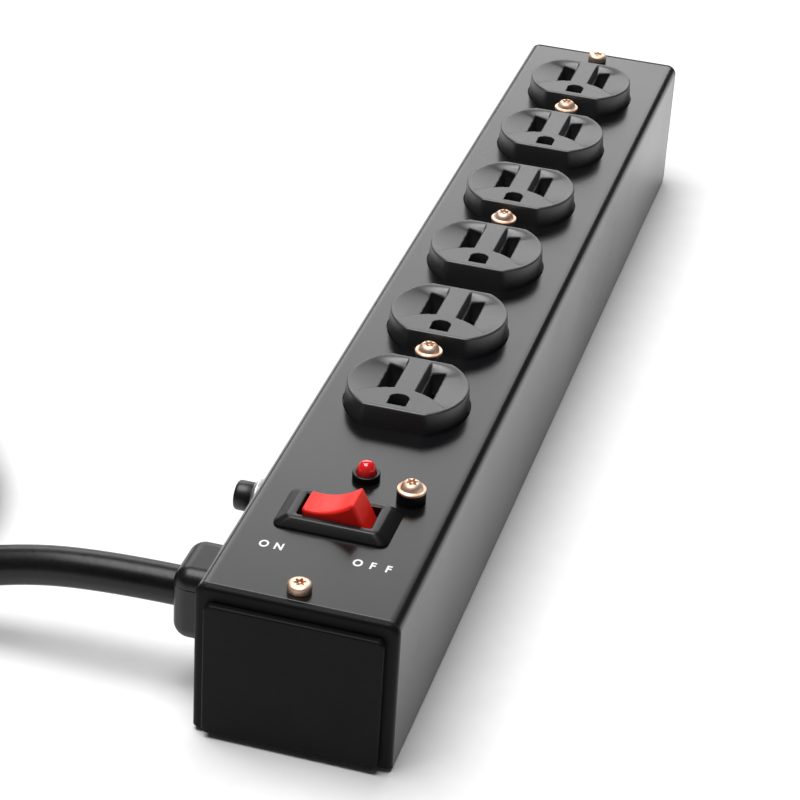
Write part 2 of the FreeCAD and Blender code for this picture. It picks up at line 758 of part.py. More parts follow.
def make_duplex(index):
    """Front moulding, yoke, contacts and back of one duplex, made about its own middle."""
    name = str(index + 1)
    half = d.outlet_pitch / 2
    outlets = (-half, half)
    plate = pillar(
        (d.plate_width, plate_length, d.plate_thickness), (plain(0), plain(0)), plate_low
    )
    post = rod(d.post_radius, post_top - inner_top, (0, 0, inner_top))
    tools = [rod(d.screw_radius + d.fit_gap, post_top - plate_low, (0, 0, plate_low))]
    for y in outlets:
        tools.extend(outlet_holes(y))
    front = cut(fuse(plate, post, *[outlet_boss(y) for y in outlets]), *tools)
    place(front, d.row_x, duplex_y(index), 0)
    sub_part("duplex_face_" + name, front)

    strap = pillar(
        (d.yoke_width, plate_length, d.yoke_thickness), (plain(0), plain(0)), yoke_low
    )
    ground_tab = block(
        (plain(5.0), d.contact_sheet, yoke_low - back_low + d.tab_drop),
        (plain(-2.5), -(plate_length / 2), back_low - d.tab_drop),
    )
    pieces, holes = [strap, ground_tab], [rod(d.screw_radius, d.yoke_thickness, (0, 0, yoke_low))]
    clip = ground_round + d.contact_sheet + 0.3
    for y in outlets:
        centre = y + (d.ground_far + d.ground_near) / 2
        pieces.append(
            rod(clip, d.contact_height + d.yoke_thickness, (0, centre, yoke_low - d.contact_height))
        )
        holes.append(
            rod(
                ground_round + 0.3,
                d.contact_height + d.yoke_thickness,
                (0, centre, yoke_low - d.contact_height),
            )
        )
    yoke = cut(fuse(*pieces), *holes)
    place(yoke, d.row_x, duplex_y(index), 0)
    sub_part("duplex_yoke_" + name, yoke)

    seat = yoke_low - d.contact_height - 1.0
    clip_width = d.contact_gap + d.contact_sheet * 2
    for label, side in (("neutral", -1), ("line", 1)):
        x = side * d.blade_spacing / 2
        clips, gaps = [], []
        for y in outlets:
            spot = (x, y + d.blade_slot_middle)
            clips.append(pillar((clip_width, d.contact_length, d.contact_height), spot, seat))
            gaps.append(
                pillar(
                    (d.contact_gap, d.contact_length, d.contact_height),
                    spot,
                    seat + d.contact_sheet,
                )
            )
        bar = pillar(
            (clip_width, d.outlet_pitch + d.contact_length, d.contact_sheet),
            (x, d.blade_slot_middle),
            seat,
        )
        tab = pillar(
            (d.contact_sheet, 6.3, seat - back_low + d.tab_drop),
            (x, plain(0)),
            back_low - d.tab_drop,
        )
        contacts = fuse(cut(fuse(*clips), *gaps), bar, tab)
        place(contacts, d.row_x, duplex_y(index), 0)
        sub_part(f"{label}_contacts_{name}", contacts)

    shell = pillar(
        (d.plate_width - 4.0, plate_length - 2.0, d.back_height), (plain(0), plain(0)), back_low
    )
    cavities = []
    cavity_width = clip_width + 1.2
    for side in (-1, 1):
        x = side * d.blade_spacing / 2
        cavities.append(
            pillar(
                (cavity_width, plate_length - 12.0, yoke_low - seat),
                (x, plain(0)),
                seat,
            )
        )
        cavities.append(pillar((d.contact_sheet + 0.4, 6.8, seat - back_low), (x, plain(0)), back_low))
    for y in outlets:
        centre = y + (d.ground_far + d.ground_near) / 2
        cavities.append(
            rod(clip + d.fit_gap, d.contact_height + 0.5, (0, centre, yoke_low - d.contact_height - 0.5))
        )
    cavities.append(rod(d.screw_radius + d.air_gap, 4.0, (0, 0, yoke_low - 4.0)))
    back = cut(shell, *cavities)
    place(back, d.row_x, duplex_y(index), 0)
    sub_part("duplex_back_" + name, back)


# ---------------------------------------------------------------- rocker switch


def make_switch():
    x, y = d.switch_x, d.switch_y
    bezel = doc.addObject("Part::Wedge", "Bezel")
    half_x, half_y = d.bezel_width / 2, d.bezel_length / 2
    top_x, top_y = d.bezel_top_width / 2, d.bezel_top_length / 2
    for path, value in (
        ("Xmin", -half_x),
        ("Xmax", half_x),
        ("Zmin", -half_y),
        ("Zmax", half_y),
        ("X2min", -top_x),
        ("X2max", top_x),
        ("Z2min", -top_y),
        ("Z2max", top_y),
        ("Ymin", plain(0)),
        ("Ymax", d.bezel_rise),
    ):
        bind(bezel, path, value)
    bezel.Placement = FreeCAD.Placement(
        FreeCAD.Vector(), FreeCAD.Rotation(FreeCAD.Vector(1, 0, 0), 90)
    )
    place(bezel, x, y, top)
    walls = pillar(
        (d.switch_body_width, d.switch_body_length, d.switch_body_depth), (x, y), body_floor
    )
    opening = pillar(
        (d.opening_width, d.opening_length, d.bezel_rise + d.switch_body_depth),
        (x, y),
        body_floor,
    )
    inside = pillar(
        (
            d.switch_body_width - d.switch_wall * 2,
            d.opening_length,
            d.switch_body_depth - d.switch_wall - 3.0,
        ),
        (x, y),
        body_floor,
    )
    pin_room = d.opening_length + 2.0
    bore = rod(d.pivot_radius, pin_room, (x, y - pin_room / 2, pivot_z), "y")
    sub_part("switch_housing", cut(fuse(bezel, walls), opening, inside, bore))
    sub_part("switch_pivot_pin", rod(d.pivot_radius, pin_room, (x, y - pin_room / 2, pivot_z), "y"))

    plate = pillar(
        (d.switch_body_width - d.switch_wall * 2, d.opening_length, 2.0), (x, y), body_floor
    )
    sub_part("switch_base", cut(plate, *terminal_slots(x, y)))
    make_terminals(x, y)
    make_rocker(x, y)
    make_lever(x, y)


def terminal_spots(x):
    return (x, x + d.lever_half - 1.0)


def terminal_slots(x, y):
    return [pillar((0.8, 6.3, 2.0), (spot, y), body_floor) for spot in terminal_spots(x)]


def make_terminals(x, y):
    """Pivot terminal under the lever and the fixed contact at its right end."""
    pieces = []
    pivot_top = lever_z - 0.6
    tops = (pivot_top, lever_z - d.contact_open - 0.7)
    for spot, high in zip(terminal_spots(x), tops):
        pieces.append(pillar((0.8, 6.3, high - body_floor + 9.0), (spot, y), body_floor - 9.0))
    pieces.append(
        rod(plain(1.6), plain(0.7), (terminal_spots(x)[1], y, lever_z - d.contact_open - 0.7))
    )
    sub_part("switch_terminals", fuse(*pieces))


def make_rocker(x, y):
    """Saddle-topped rocker, drawn level about its pivot and tilted to the on position."""
    body = new_body("switch_rocker")
    half = d.rocker_width / 2
    profile = sketch_on(body, "XZ_Plane", -half)
    top_corner = (7.0, 6.9)
    waist = (8.0, 1.5)
    skirt = (8.7, -3.3)
    stem = (2.6, -4.6)
    stem_end = (2.1, -9.0)
    saddle = (0.0, 5.2)
    left = [(-a, b) for a, b in (top_corner, waist, skirt, stem, stem_end)]
    right = [stem_end, stem, skirt, waist, top_corner]
    outline = left + right
    spots = [FreeCAD.Vector(a, b, 0) for a, b in outline]
    count = len(spots)
    for index in range(count - 1):
        profile.addGeometry(Part.LineSegment(spots[index], spots[index + 1]), False)
    arc = Part.Arc(spots[-1], FreeCAD.Vector(*saddle, 0), spots[0])
    profile.addGeometry(arc, False)
    for index in range(count - 2):
        profile.addConstraint(Sketcher.Constraint("Coincident", index, 2, index + 1, 1))
    ends = {
        round(profile.getPoint(count - 1, which).x, 3): which for which in (1, 2)
    }
    left_end, right_end = ends[-top_corner[0]], ends[top_corner[0]]
    profile.addConstraint(Sketcher.Constraint("Coincident", count - 2, 2, count - 1, right_end))
    profile.addConstraint(Sketcher.Constraint("Coincident", count - 1, left_end, 0, 1))
    for index in range(count - 1):
        pin_point(profile, index, 1, outline[index][0], outline[index][1])
    pin_point(profile, count - 2, 2, *outline[-1])
    radius = (top_corner[0] ** 2 + (top_corner[1] - saddle[1]) ** 2) / (
        2 * (top_corner[1] - saddle[1])
    )
    profile.addConstraint(Sketcher.Constraint("Radius", count - 1, radius))
    pad(body, profile, d.rocker_width)
    bore = sketch_on(body, "XZ_Plane", half)
    circle(bore, d.pivot_radius + d.running_gap, 0, 0)
    pocket(body, bore, d.rocker_width)
    well = sketch_on(body, "XY_Plane", -9.0)
    circle(well, d.plunger_radius + d.running_gap, 0, 0)
    doc.recompute()
    drill = body.newObject("PartDesign::Pocket", "Pocket")
    drill.Profile = well
    drill.Reversed = True
    bind(drill, "Length", plain(6.0))
    doc.recompute()
    tilt = FreeCAD.Rotation(FreeCAD.Vector(0, -1, 0), number(d.rocker_tilt))
    body.Placement = FreeCAD.Placement(FreeCAD.Vector(), tilt)
    place(body, x, y, pivot_z)
    bind(body, "Placement.Rotation.Angle", d.rocker_tilt)

    tip = ball(d.plunger_radius, (0, 0, -d.plunger_reach + d.plunger_radius))
    stem_rod = rod(
        d.plunger_radius, d.plunger_reach - 4.0 - d.plunger_radius,
        (0, 0, -d.plunger_reach + d.plunger_radius),
    )
    plunger = fuse(tip, stem_rod)
    plunger.Placement = FreeCAD.Placement(FreeCAD.Vector(), tilt)
    place(plunger, x, y, pivot_z)
    bind(plunger, "Placement.Rotation.Angle", d.rocker_tilt)
    sub_part("switch_plunger", plunger)


def make_lever(x, y):
    """Contact lever: a brass seesaw on the pivot terminal, right end down when on."""
    plate = pillar((d.lever_half * 2, 5.0, 0.8), (plain(0), plain(0)), plain(-0.4))
    button = rod(plain(1.4), plain(0.6), (d.lever_half - 1.6, 0, -1.0))
    lever = fuse(plate, button)
    turn = FreeCAD.Rotation(FreeCAD.Vector(0, 1, 0), number(d.lever_tilt))
    lever.Placement = FreeCAD.Placement(FreeCAD.Vector(), turn)
    place(lever, x, y, lever_z)
    bind(lever, "Placement.Rotation.Angle", d.lever_tilt)
    sub_part("switch_lever", lever)


# ---------------------------------------------------------------- lamp, breaker, surge board


def make_lamp():
    x, y = d.lamp_x, d.lamp_y
    collar = rod(d.lamp_collar_radius, d.lamp_collar_rise, (x, y, top))
    sleeve = rod(d.lamp_lens_radius + d.fit_gap, d.lamp_collar_rise, (x, y, top))
    sub_part("lamp_collar", cut(collar, sleeve))
    straight = d.lamp_lens_rise - d.lamp_lens_radius
    low = top - 6.0
    lens = fuse(
        rod(d.lamp_lens_radius, straight + 6.0, (x, y, low)),
        ball(d.lamp_lens_radius, (x, y, top + straight)),
        rod(d.lamp_lens_radius + 1.0, plain(1.0), (x, y, inner_top - 1.0)),
    )
    hollow = rod(d.lamp_lens_radius - 0.9, straight + 5.0, (x, y, low))
    sub_part("lamp_lens", cut(lens, hollow))
    glass = rod(d.lamp_lens_radius - 1.1, straight + 4.0, (x, y, low))
    leads = [rod(plain(0.3), plain(6.0), (x + side * 0.7, y, low - 6.0)) for side in (-1, 1)]
    sub_part("lamp_neon", fuse(glass, *leads))


def make_breaker():
    y, z = d.breaker_y, d.breaker_z
    wall = -half_width
    inner = -inner_half
    bore = d.breaker_button_radius - 1.2
    neck = rod(
        d.breaker_neck_radius,
        d.breaker_neck_reach + d.sheet_steel,
        (wall - d.breaker_neck_reach, y, z),
        "x",
    )
    neck_bore = rod(
        bore + d.running_gap,
        d.breaker_neck_reach + d.sheet_steel,
        (wall - d.breaker_neck_reach, y, z),
        "x",
    )
    sub_part("breaker_neck", cut(neck, neck_bore))
    nut = rod(d.breaker_nut_across / 2, d.breaker_nut_height, (wall - d.breaker_nut_height, y, z), "x")
    nut_bore = rod(
        d.breaker_neck_radius, d.breaker_nut_height, (wall - d.breaker_nut_height, y, z), "x"
    )
    sub_part("breaker_nut", cut(nut, nut_bore))
    body = block(
        (d.breaker_body_depth, d.breaker_body_length, d.breaker_body_height),
        (inner, y - d.breaker_body_length / 2, z - d.breaker_body_height / 2 - 2.0),
    )
    travel = plain(5.0)
    chamber = rod(bore + d.air_gap, travel + 1.0, (inner, y, z), "x")
    sub_part("breaker_body", cut(body, chamber))
    head_length = d.breaker_button_reach - d.breaker_neck_reach - d.air_gap
    head = rod(
        d.breaker_button_radius, head_length, (wall - d.breaker_button_reach, y, z), "x"
    )
    stem = rod(
        bore,
        d.breaker_neck_reach + d.sheet_steel + d.air_gap + travel,
        (wall - d.breaker_neck_reach - d.air_gap, y, z),
        "x",
    )
    sub_part("breaker_button", fuse(head, stem))
    tabs = [
        pillar(
            (plain(6.3), plain(0.8), plain(9.0)),
            (inner + d.breaker_body_depth / 2, y + side * 3.5),
            z - d.breaker_body_height / 2 - 11.0,
        )
        for side in (-1, 1)
    ]
    sub_part("breaker_terminals", fuse(*tabs))


def make_surge_board():
    """Board hung from the top face by its screw, components underneath."""
    low = d.board_height
    upper = low + d.board_thickness
    x, y = d.board_screw_x - 7.0, d.board_screw_y + 9.0
    board = pillar((d.board_width, d.board_length, d.board_thickness), (x, y), low)
    hole = rod(d.screw_radius + d.fit_gap, d.board_thickness, (d.board_screw_x, d.board_screw_y, low))
    sub_part("surge_board", cut(board, hole))
    spot = (d.board_screw_x, d.board_screw_y, upper)
    post = rod(plain(3.2), inner_top - upper, spot)
    sub_part("board_standoff", cut(post, rod(d.screw_radius, inner_top - upper, spot)))
    disc_radius = plain(4.6)
    discs = []
    for index in range(3):
        disc_y = y + 4.5 * index
        middle = (x + 3.0, disc_y, low - 0.8 - disc_radius)
        discs.append(rod(disc_radius, plain(2.6), middle, "y"))
        discs.append(rod(plain(0.4), plain(1.2), (x + 3.0, disc_y + 1.3, low - 1.2)))
    sub_part("surge_varistors", fuse(*discs))
    fuse_radius = plain(2.2)
    sub_part("surge_fuse", rod(fuse_radius, plain(12.0), (x - 9.0, y, low - fuse_radius), "y"))


# ---------------------------------------------------------------- wiring


def tube(name, points, radius):
    """Round tube along straight runs joined by tangent arcs; prints its arc radii."""
    share = 0.45
    spots = [FreeCAD.Vector(*point) for point in points]
    edges, start, radii = [], spots[0], []
    for index in range(1, len(spots) - 1):
        before, corner, after = spots[index - 1], spots[index], spots[index + 1]
        back, onward = (before - corner), (after - corner)
        trim = share * min(back.Length, onward.Length)
        back.normalize()
        onward.normalize()
        turn = math.pi - back.getAngle(onward)
        radii.append(trim / math.tan(turn / 2))
        inward = back + onward
        inward.normalize()
        depth = trim / math.sin(turn / 2) * (1 - math.cos(turn / 2))
        enter, leave = corner + back * trim, corner + onward * trim
        middle = corner + inward * depth
        edges.append(Part.LineSegment(start, enter).toShape())
        edges.append(Part.Arc(enter, middle, leave).toShape())
        start = leave
    edges.append(Part.LineSegment(start, spots[-1]).toShape())
    path = Part.Wire(edges)
    ring = Part.Wire(Part.makeCircle(radius, spots[0], spots[1] - spots[0]))
    shape = path.makePipeShell([ring], True, True)
    expected = math.pi * radius * radius * path.Length
    print(f"  {name}: length {path.Length:.1f}, volume share {shape.Volume / expected:.4f}")
    print("    arc radii", " ".join(f"{value:.0f}" for value in radii))
    return shape


def make_wires():
    """Three bus wires under the duplexes, each touching its three contact tabs."""
    radius = number(d.wire_radius)
    level = number(back_low) - number(d.tab_drop) - radius
    half_run = 12.0
    sag = 3.0
    line = number(d.row_x)
    offset = number(d.blade_spacing) / 2
    ground_shift = (number(d.contact_sheet) - number(plate_length)) / 2
    for label, x, shift in (
        ("wire_line", line + offset, 0.0),
        ("wire_neutral", line - offset, 0.0),
        ("wire_ground", line, ground_shift),
    ):
        taps = [number(duplex_y(index)) + shift for index in range(3)]
        points = [(x, taps[0] - 54.0, level - 1.5), (x + 0.4, taps[0] - 33.0, level - sag)]
        for index, tap in enumerate(taps):
            points.append((x, tap - half_run, level))
            points.append((x, tap + half_run, level))
            if index < 2:
                points.append((x + 0.6, (tap + taps[index + 1]) / 2, level - sag))
        points.append((x + 0.3, taps[2] + 31.0, level - sag))
        solid_feature(label, tube(label, points, radius))


def make_strain_relief():
    """Two moulded halves that clamp the cord in the wall."""
    y, z = d.relief_y, d.relief_z
    wall = -half_width
    head = pillar(
        (d.relief_reach, d.relief_width, d.relief_height),
        (wall - d.relief_reach / 2, y),
        z - d.relief_height / 2,
    )
    neck = rod(d.relief_neck, d.sheet_steel, (wall, y, z), "x")
    inside = rod(d.relief_neck + 1.0, plain(5.0), (-inner_half, y, z), "x")
    bore = rod(
        d.cord_diameter / 2 + d.fit_gap,
        d.relief_reach + d.sheet_steel + 5.0,
        (wall - d.relief_reach, y, z),
        "x",
    )
    doc.recompute()
    rounded = doc.addObject("Part::Fillet", "Rounded")
    rounded.Base = head
    radius = number(d.relief_corner)
    outer = number(wall - d.relief_reach)
    rounded.Edges = [
        (index, radius, radius)
        for index, edge in enumerate(head.Shape.Edges, 1)
        if runs_along(edge, "x") or near(edge.CenterOfMass.x, outer)
    ]
    room = plain(40.0)
    long = d.relief_reach + d.sheet_steel + 6.0
    middle = (wall - d.relief_reach + long / 2, y)
    split = z + d.relief_split
    for label, low in (("strain_relief_upper", split), ("strain_relief_lower", split - room)):
        whole = cut(fuse(rounded, neck, inside), bore)
        sub_part(label, common(whole, pillar((long, room, room), middle, low)))


# ---------------------------------------------------------------- cord, coil and plug

cord_radius = number(d.cord_diameter) / 2
coil_x, coil_y = number(d.coil_x), number(d.coil_y)
outer_turn = number(d.coil_radius) + cord_radius
plug_x = coil_x - outer_turn + 8.0
neck_y = coil_y + 86.0
plug_y = neck_y + number(d.plug_neck)
plug_z = number(d.plug_radius)


def make_cord():
    """Supply cord: strain relief, down to the floor, coil, and the tail to the plug."""
    exit_x = -number(half_width) - number(d.relief_reach)
    exit_y, exit_z = number(d.relief_y), number(d.relief_z)
    joins_y = coil_y - outer_turn
    lead = [
        (exit_x + 0.6, exit_y, exit_z),
        (exit_x - 23.0, exit_y, exit_z - 0.2),
        (exit_x - 48.5, exit_y - 0.4, exit_z - 4.4),
        (exit_x - 74.5, exit_y - 4.1, exit_z - 12.8),
        (exit_x - 102.8, exit_y - 13.4, cord_radius + 1.4),
        (coil_x, joins_y, cord_radius),
    ]
    solid_feature("cord", tube("cord", lead, cord_radius))
    ring = cut(
        rod(d.coil_radius + d.cord_diameter, d.coil_height, (d.coil_x, d.coil_y, 0)),
        rod(d.coil_radius - d.cord_diameter, d.coil_height, (d.coil_x, d.coil_y, 0)),
    )
    sub_part("cord_coil", ring)
    leaves_x = coil_x - outer_turn
    tail = [
        (leaves_x, coil_y, cord_radius),
        (leaves_x, coil_y + 21.0, cord_radius),
        (leaves_x + 3.2, coil_y + 43.0, cord_radius + 3.4),
        (plug_x, coil_y + 65.0, plug_z),
        (plug_x, neck_y, plug_z),
    ]
    solid_feature("cord_tail", tube("cord_tail", tail, cord_radius))


def make_plug():
    """Straight plug lying beside the coil, blades towards +Y."""
    body = rod(d.plug_radius, d.plug_length, (plug_x, plug_y, plug_z), "y")
    slim, wide = cord_radius + 1.4, cord_radius + 3.4
    neck = cone(slim, wide, d.plug_neck, (plug_x, neck_y, plug_z), "y")
    sub_part("plug_body", fuse(body, neck))
    front = d.plug_length + plug_y
    blade_z = plug_z + 3.5
    blades = [
        block(
            (d.blade_thickness, d.blade_length, d.blade_width),
            (
                side * d.blade_spacing / 2 - d.blade_thickness / 2 + plug_x,
                front,
                blade_z - d.blade_width / 2,
            ),
        )
        for side in (-1, 1)
    ]
    sub_part("plug_blades", fuse(*blades))
    pin_drop = 11.9
    pin = rod(d.pin_radius, d.blade_length + 3.0, (plug_x, front, blade_z - pin_drop), "y")
    sub_part("plug_ground_pin", pin)


# ---------------------------------------------------------------- build and write


def check_and_write():
    doc.recompute()
    for thing in doc.Objects:
        if "Invalid" in thing.State or "Error" in thing.State:
            raise ValueError(f"{thing.Name} ({thing.Label}) did not build: {thing.State}")
    os.makedirs("parts", exist_ok=True)
    for thing in sub_parts:
        shape = thing.Shape
        if shape.isNull() or not shape.isValid() or not shape.Solids:
            raise ValueError(f"{thing.Label} has no valid shape")
    for thing in sub_parts:
        thing.Shape.exportStep(f"parts/{thing.Label}.step")
    print(f"{len(sub_parts)} sub-parts written")


make_housing()
make_base_plate()
make_end_cap("front_cap", -1)
make_end_cap("rear_cap", 1)
for duplex_index in range(3):
    make_duplex(duplex_index)
make_screws()
make_switch()
make_lamp()
make_breaker()
make_surge_board()
make_wires()
make_strain_relief()
make_cord()
make_plug()
check_and_write()
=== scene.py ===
import json
import math

import bmesh
import bpy
from mathutils import Matrix, Vector
from mathutils.geometry import delaunay_2d_cdt

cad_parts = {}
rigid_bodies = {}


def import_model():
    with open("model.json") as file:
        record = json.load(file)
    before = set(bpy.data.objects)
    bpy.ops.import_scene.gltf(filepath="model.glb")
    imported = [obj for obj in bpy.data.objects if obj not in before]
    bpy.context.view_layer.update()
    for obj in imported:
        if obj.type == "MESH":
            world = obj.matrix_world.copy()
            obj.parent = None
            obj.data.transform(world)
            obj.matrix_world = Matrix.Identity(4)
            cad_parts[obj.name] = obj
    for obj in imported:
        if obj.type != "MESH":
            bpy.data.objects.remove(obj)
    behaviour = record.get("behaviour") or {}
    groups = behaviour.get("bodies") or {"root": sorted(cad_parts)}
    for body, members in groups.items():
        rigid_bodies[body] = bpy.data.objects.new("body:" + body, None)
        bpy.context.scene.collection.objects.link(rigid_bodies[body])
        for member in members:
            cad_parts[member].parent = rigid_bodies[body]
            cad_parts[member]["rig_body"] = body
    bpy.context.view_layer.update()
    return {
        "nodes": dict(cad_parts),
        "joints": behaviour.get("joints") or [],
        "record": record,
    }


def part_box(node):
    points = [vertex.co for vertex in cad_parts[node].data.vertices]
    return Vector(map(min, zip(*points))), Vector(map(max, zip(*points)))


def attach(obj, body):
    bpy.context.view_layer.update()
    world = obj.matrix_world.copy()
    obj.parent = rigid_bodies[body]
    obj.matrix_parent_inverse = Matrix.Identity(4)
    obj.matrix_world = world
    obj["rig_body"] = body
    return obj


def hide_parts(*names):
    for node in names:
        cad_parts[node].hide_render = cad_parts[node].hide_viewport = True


# Six-outlet steel power strip: finishes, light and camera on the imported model.
# Metres; +Z up, +Y along the strip away from the switch, cord and reset button on -X.

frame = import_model()
mm = 0.001
root = "strip"  # the body that everything fixed belongs to
scene = bpy.context.scene


camera = {
    "place": (0.14632, -0.66626, 0.41438),
    "azimuth": 14.163,  # from straight in front of the switch end, towards +X
    "elevation": 31.256,
    "roll": 3.564,
    "lens": 117.77,
}


def addCamera():
    data = bpy.data.cameras.new("camera")
    data.lens = camera["lens"]
    data.sensor_width = 36
    data.clip_start = 0.05
    data.clip_end = 30
    holder = bpy.data.objects.new("camera", data)
    scene.collection.objects.link(holder)
    turn = Matrix.Rotation(math.radians(camera["azimuth"]), 4, "Z")
    tip = Matrix.Rotation(math.radians(90 - camera["elevation"]), 4, "X")
    roll = Matrix.Rotation(math.radians(camera["roll"]), 4, "Z")
    holder.matrix_world = Matrix.Translation(camera["place"]) @ turn @ tip @ roll
    scene.camera = holder


addCamera()
print("camera placed")



def linear(hexColour):  # sRGB hex to linear RGBA
    channels = [int(hexColour[i:i + 2], 16) / 255 for i in (1, 3, 5)]
    return [c / 12.92 if c <= 0.04045 else ((c + 0.055) / 1.055) ** 2.4 for c in channels] + [1.0]


def perMetre(sizeMm):  # texture scale for a pattern of that size
    return 1 / (sizeMm * mm)


def addNode(tree, kind, settings=None, links=None):
    node = tree.nodes.new(kind)
    for key, value in (settings or {}).items():
        if key in node.inputs:
            node.inputs[key].default_value = value
        else:
            setattr(node, key, value)
    for key, source in (links or {}).items():
        tree.links.new(source, node.inputs[key])
    return node


def newMaterial(name, settings):
    # Material with a shader that has these sockets set; returns it, its tree, shader and coordinates
    material = bpy.data.materials.new(name)
    material.use_nodes = True
    tree = material.node_tree
    shader = tree.nodes["Principled BSDF"]
    for key, value in settings.items():
        shader.inputs[key].default_value = value
    coords = addNode(tree, "ShaderNodeTexCoord").outputs["Object"]
    return material, tree, shader, coords


def colourBetween(tree, shader, factor, low, high, start=0.35, end=0.65, socket="Base Color"):
    ramp = addNode(tree, "ShaderNodeValToRGB", links={"Fac": factor})
    ramp.color_ramp.elements[0].position = start
    ramp.color_ramp.elements[1].position = end
    ramp.color_ramp.elements[0].color = linear(low)
    ramp.color_ramp.elements[1].color = linear(high)
    tree.links.new(ramp.outputs["Color"], shader.inputs[socket])
    return ramp


def roughBetween(tree, shader, factor, low, high, start=0.3, end=0.7):
    spread = addNode(
        tree, "ShaderNodeMapRange",
        {"From Min": start, "From Max": end, "To Min": low, "To Max": high},
        {"Value": factor},
    )
    tree.links.new(spread.outputs["Result"], shader.inputs["Roughness"])


def bumpFrom(tree, shader, height, depthMm, under=None):
    links = {"Height": height}
    if under:
        links["Normal"] = under.outputs["Normal"]
    bump = addNode(tree, "ShaderNodeBump", {"Distance": depthMm * mm, "Strength": 1.0}, links)
    tree.links.new(bump.outputs["Normal"], shader.inputs["Normal"])
    return bump


def mouldedPlastic(name, look):
    # Injection-moulded plastic: fine spark-eroded grain in roughness and relief, slow drift in tone
    material, tree, shader, coords = newMaterial(
        name, {"Specular IOR Level": look.get("specular", 0.5), "IOR": 1.5}
    )
    grain = addNode(
        tree, "ShaderNodeTexNoise",
        {"Scale": perMetre(look["grainMm"]), "Detail": 3.0, "Roughness": 0.6}, {"Vector": coords},
    )
    drift = addNode(
        tree, "ShaderNodeTexNoise",
        {"Scale": perMetre(look.get("driftMm", 22)), "Detail": 2.0}, {"Vector": coords},
    )
    colourBetween(tree, shader, drift.outputs["Fac"], look["dark"], look["light"])
    rough = look["roughness"]
    roughBetween(tree, shader, grain.outputs["Fac"], rough - 0.05, rough + 0.05)
    bumpFrom(tree, shader, grain.outputs["Fac"], look["grainDepthMm"])
    if "coat" in look:
        shader.inputs["Coat Weight"].default_value = look["coat"]
        shader.inputs["Coat Roughness"].default_value = 0.06
    return material


def turnedMetal(name, look):
    # Plated or bare metal: fine tool marks, colour drift of the plating
    material, tree, shader, coords = newMaterial(name, {"Metallic": 1.0})
    drift = addNode(
        tree, "ShaderNodeTexNoise",
        {"Scale": perMetre(look.get("driftMm", 2.5)), "Detail": 3.0}, {"Vector": coords},
    )
    marks = addNode(
        tree, "ShaderNodeTexNoise",
        {"Scale": perMetre(look.get("markMm", 0.25)), "Detail": 2.0}, {"Vector": coords},
    )
    colourBetween(tree, shader, drift.outputs["Fac"], look["dark"], look["light"])
    rough = look["roughness"]
    roughBetween(tree, shader, marks.outputs["Fac"], rough - 0.06, rough + 0.08)
    bumpFrom(tree, shader, marks.outputs["Fac"], look.get("markDepthMm", 0.004))
    return material


# enamel baked on sheet steel: glossy, with the slow ripple called orange peel and a few dust nibs
enamelLook = {"dark": "#08080a", "light": "#0e0e10", "peelMm": 2.6, "peelDepthMm": 0.004, "roughness": 0.24}


def enamelledSteel():
    material, tree, shader, coords = newMaterial(
        "gloss black enamel on sheet steel",
        {"IOR": 1.52, "Specular IOR Level": 0.36, "Coat Weight": 0.12, "Coat Roughness": 0.12},
    )
    peel = addNode(
        tree, "ShaderNodeTexNoise",
        {"Scale": perMetre(enamelLook["peelMm"]), "Detail": 1.5}, {"Vector": coords},
    )
    drift = addNode(
        tree, "ShaderNodeTexNoise", {"Scale": perMetre(60), "Detail": 2.0}, {"Vector": coords}
    )
    nibs = addNode(
        tree, "ShaderNodeTexVoronoi", {"Scale": perMetre(9), "Randomness": 1.0}, {"Vector": coords}
    )
    nibHeight = addNode(
        tree, "ShaderNodeMapRange",
        {"From Min": 0.0, "From Max": 0.02, "To Min": 1.0, "To Max": 0.0},
        {"Value": nibs.outputs["Distance"]},
    )
    colourBetween(tree, shader, drift.outputs["Fac"], enamelLook["dark"], enamelLook["light"])
    rough = enamelLook["roughness"]
    roughBetween(tree, shader, drift.outputs["Fac"], rough - 0.03, rough + 0.04)
    ripple = bumpFrom(tree, shader, peel.outputs["Fac"], enamelLook["peelDepthMm"])
    bumpFrom(tree, shader, nibHeight.outputs["Result"], 0.01, ripple)
    return material


def clearRed():
    # Clear red acrylic cap of the lamp: deep colour, light gathered at the rim, sharp gloss
    material, tree, shader, coords = newMaterial(
        "clear red acrylic, moulded",
        {
            "IOR": 1.49, "Roughness": 0.08, "Transmission Weight": 0.15, "Subsurface Weight": 0.5,
            "Subsurface Scale": 1.5 * mm, "Coat Weight": 0.6, "Coat Roughness": 0.05,
        },
    )
    flow = addNode(tree, "ShaderNodeTexNoise", {"Scale": perMetre(3), "Detail": 1.0}, {"Vector": coords})
    colourBetween(tree, shader, flow.outputs["Fac"], "#ec1820", "#fb2c30")
    bumpFrom(tree, shader, flow.outputs["Fac"], 0.02)
    return material


def glassTube():
    material, tree, shader, coords = newMaterial(
        "clear glass, blown", {"IOR": 1.5, "Roughness": 0.05, "Transmission Weight": 0.9}
    )
    flow = addNode(tree, "ShaderNodeTexNoise", {"Scale": perMetre(2)}, {"Vector": coords})
    colourBetween(tree, shader, flow.outputs["Fac"], "#e9dccb", "#f6efe4")
    return material


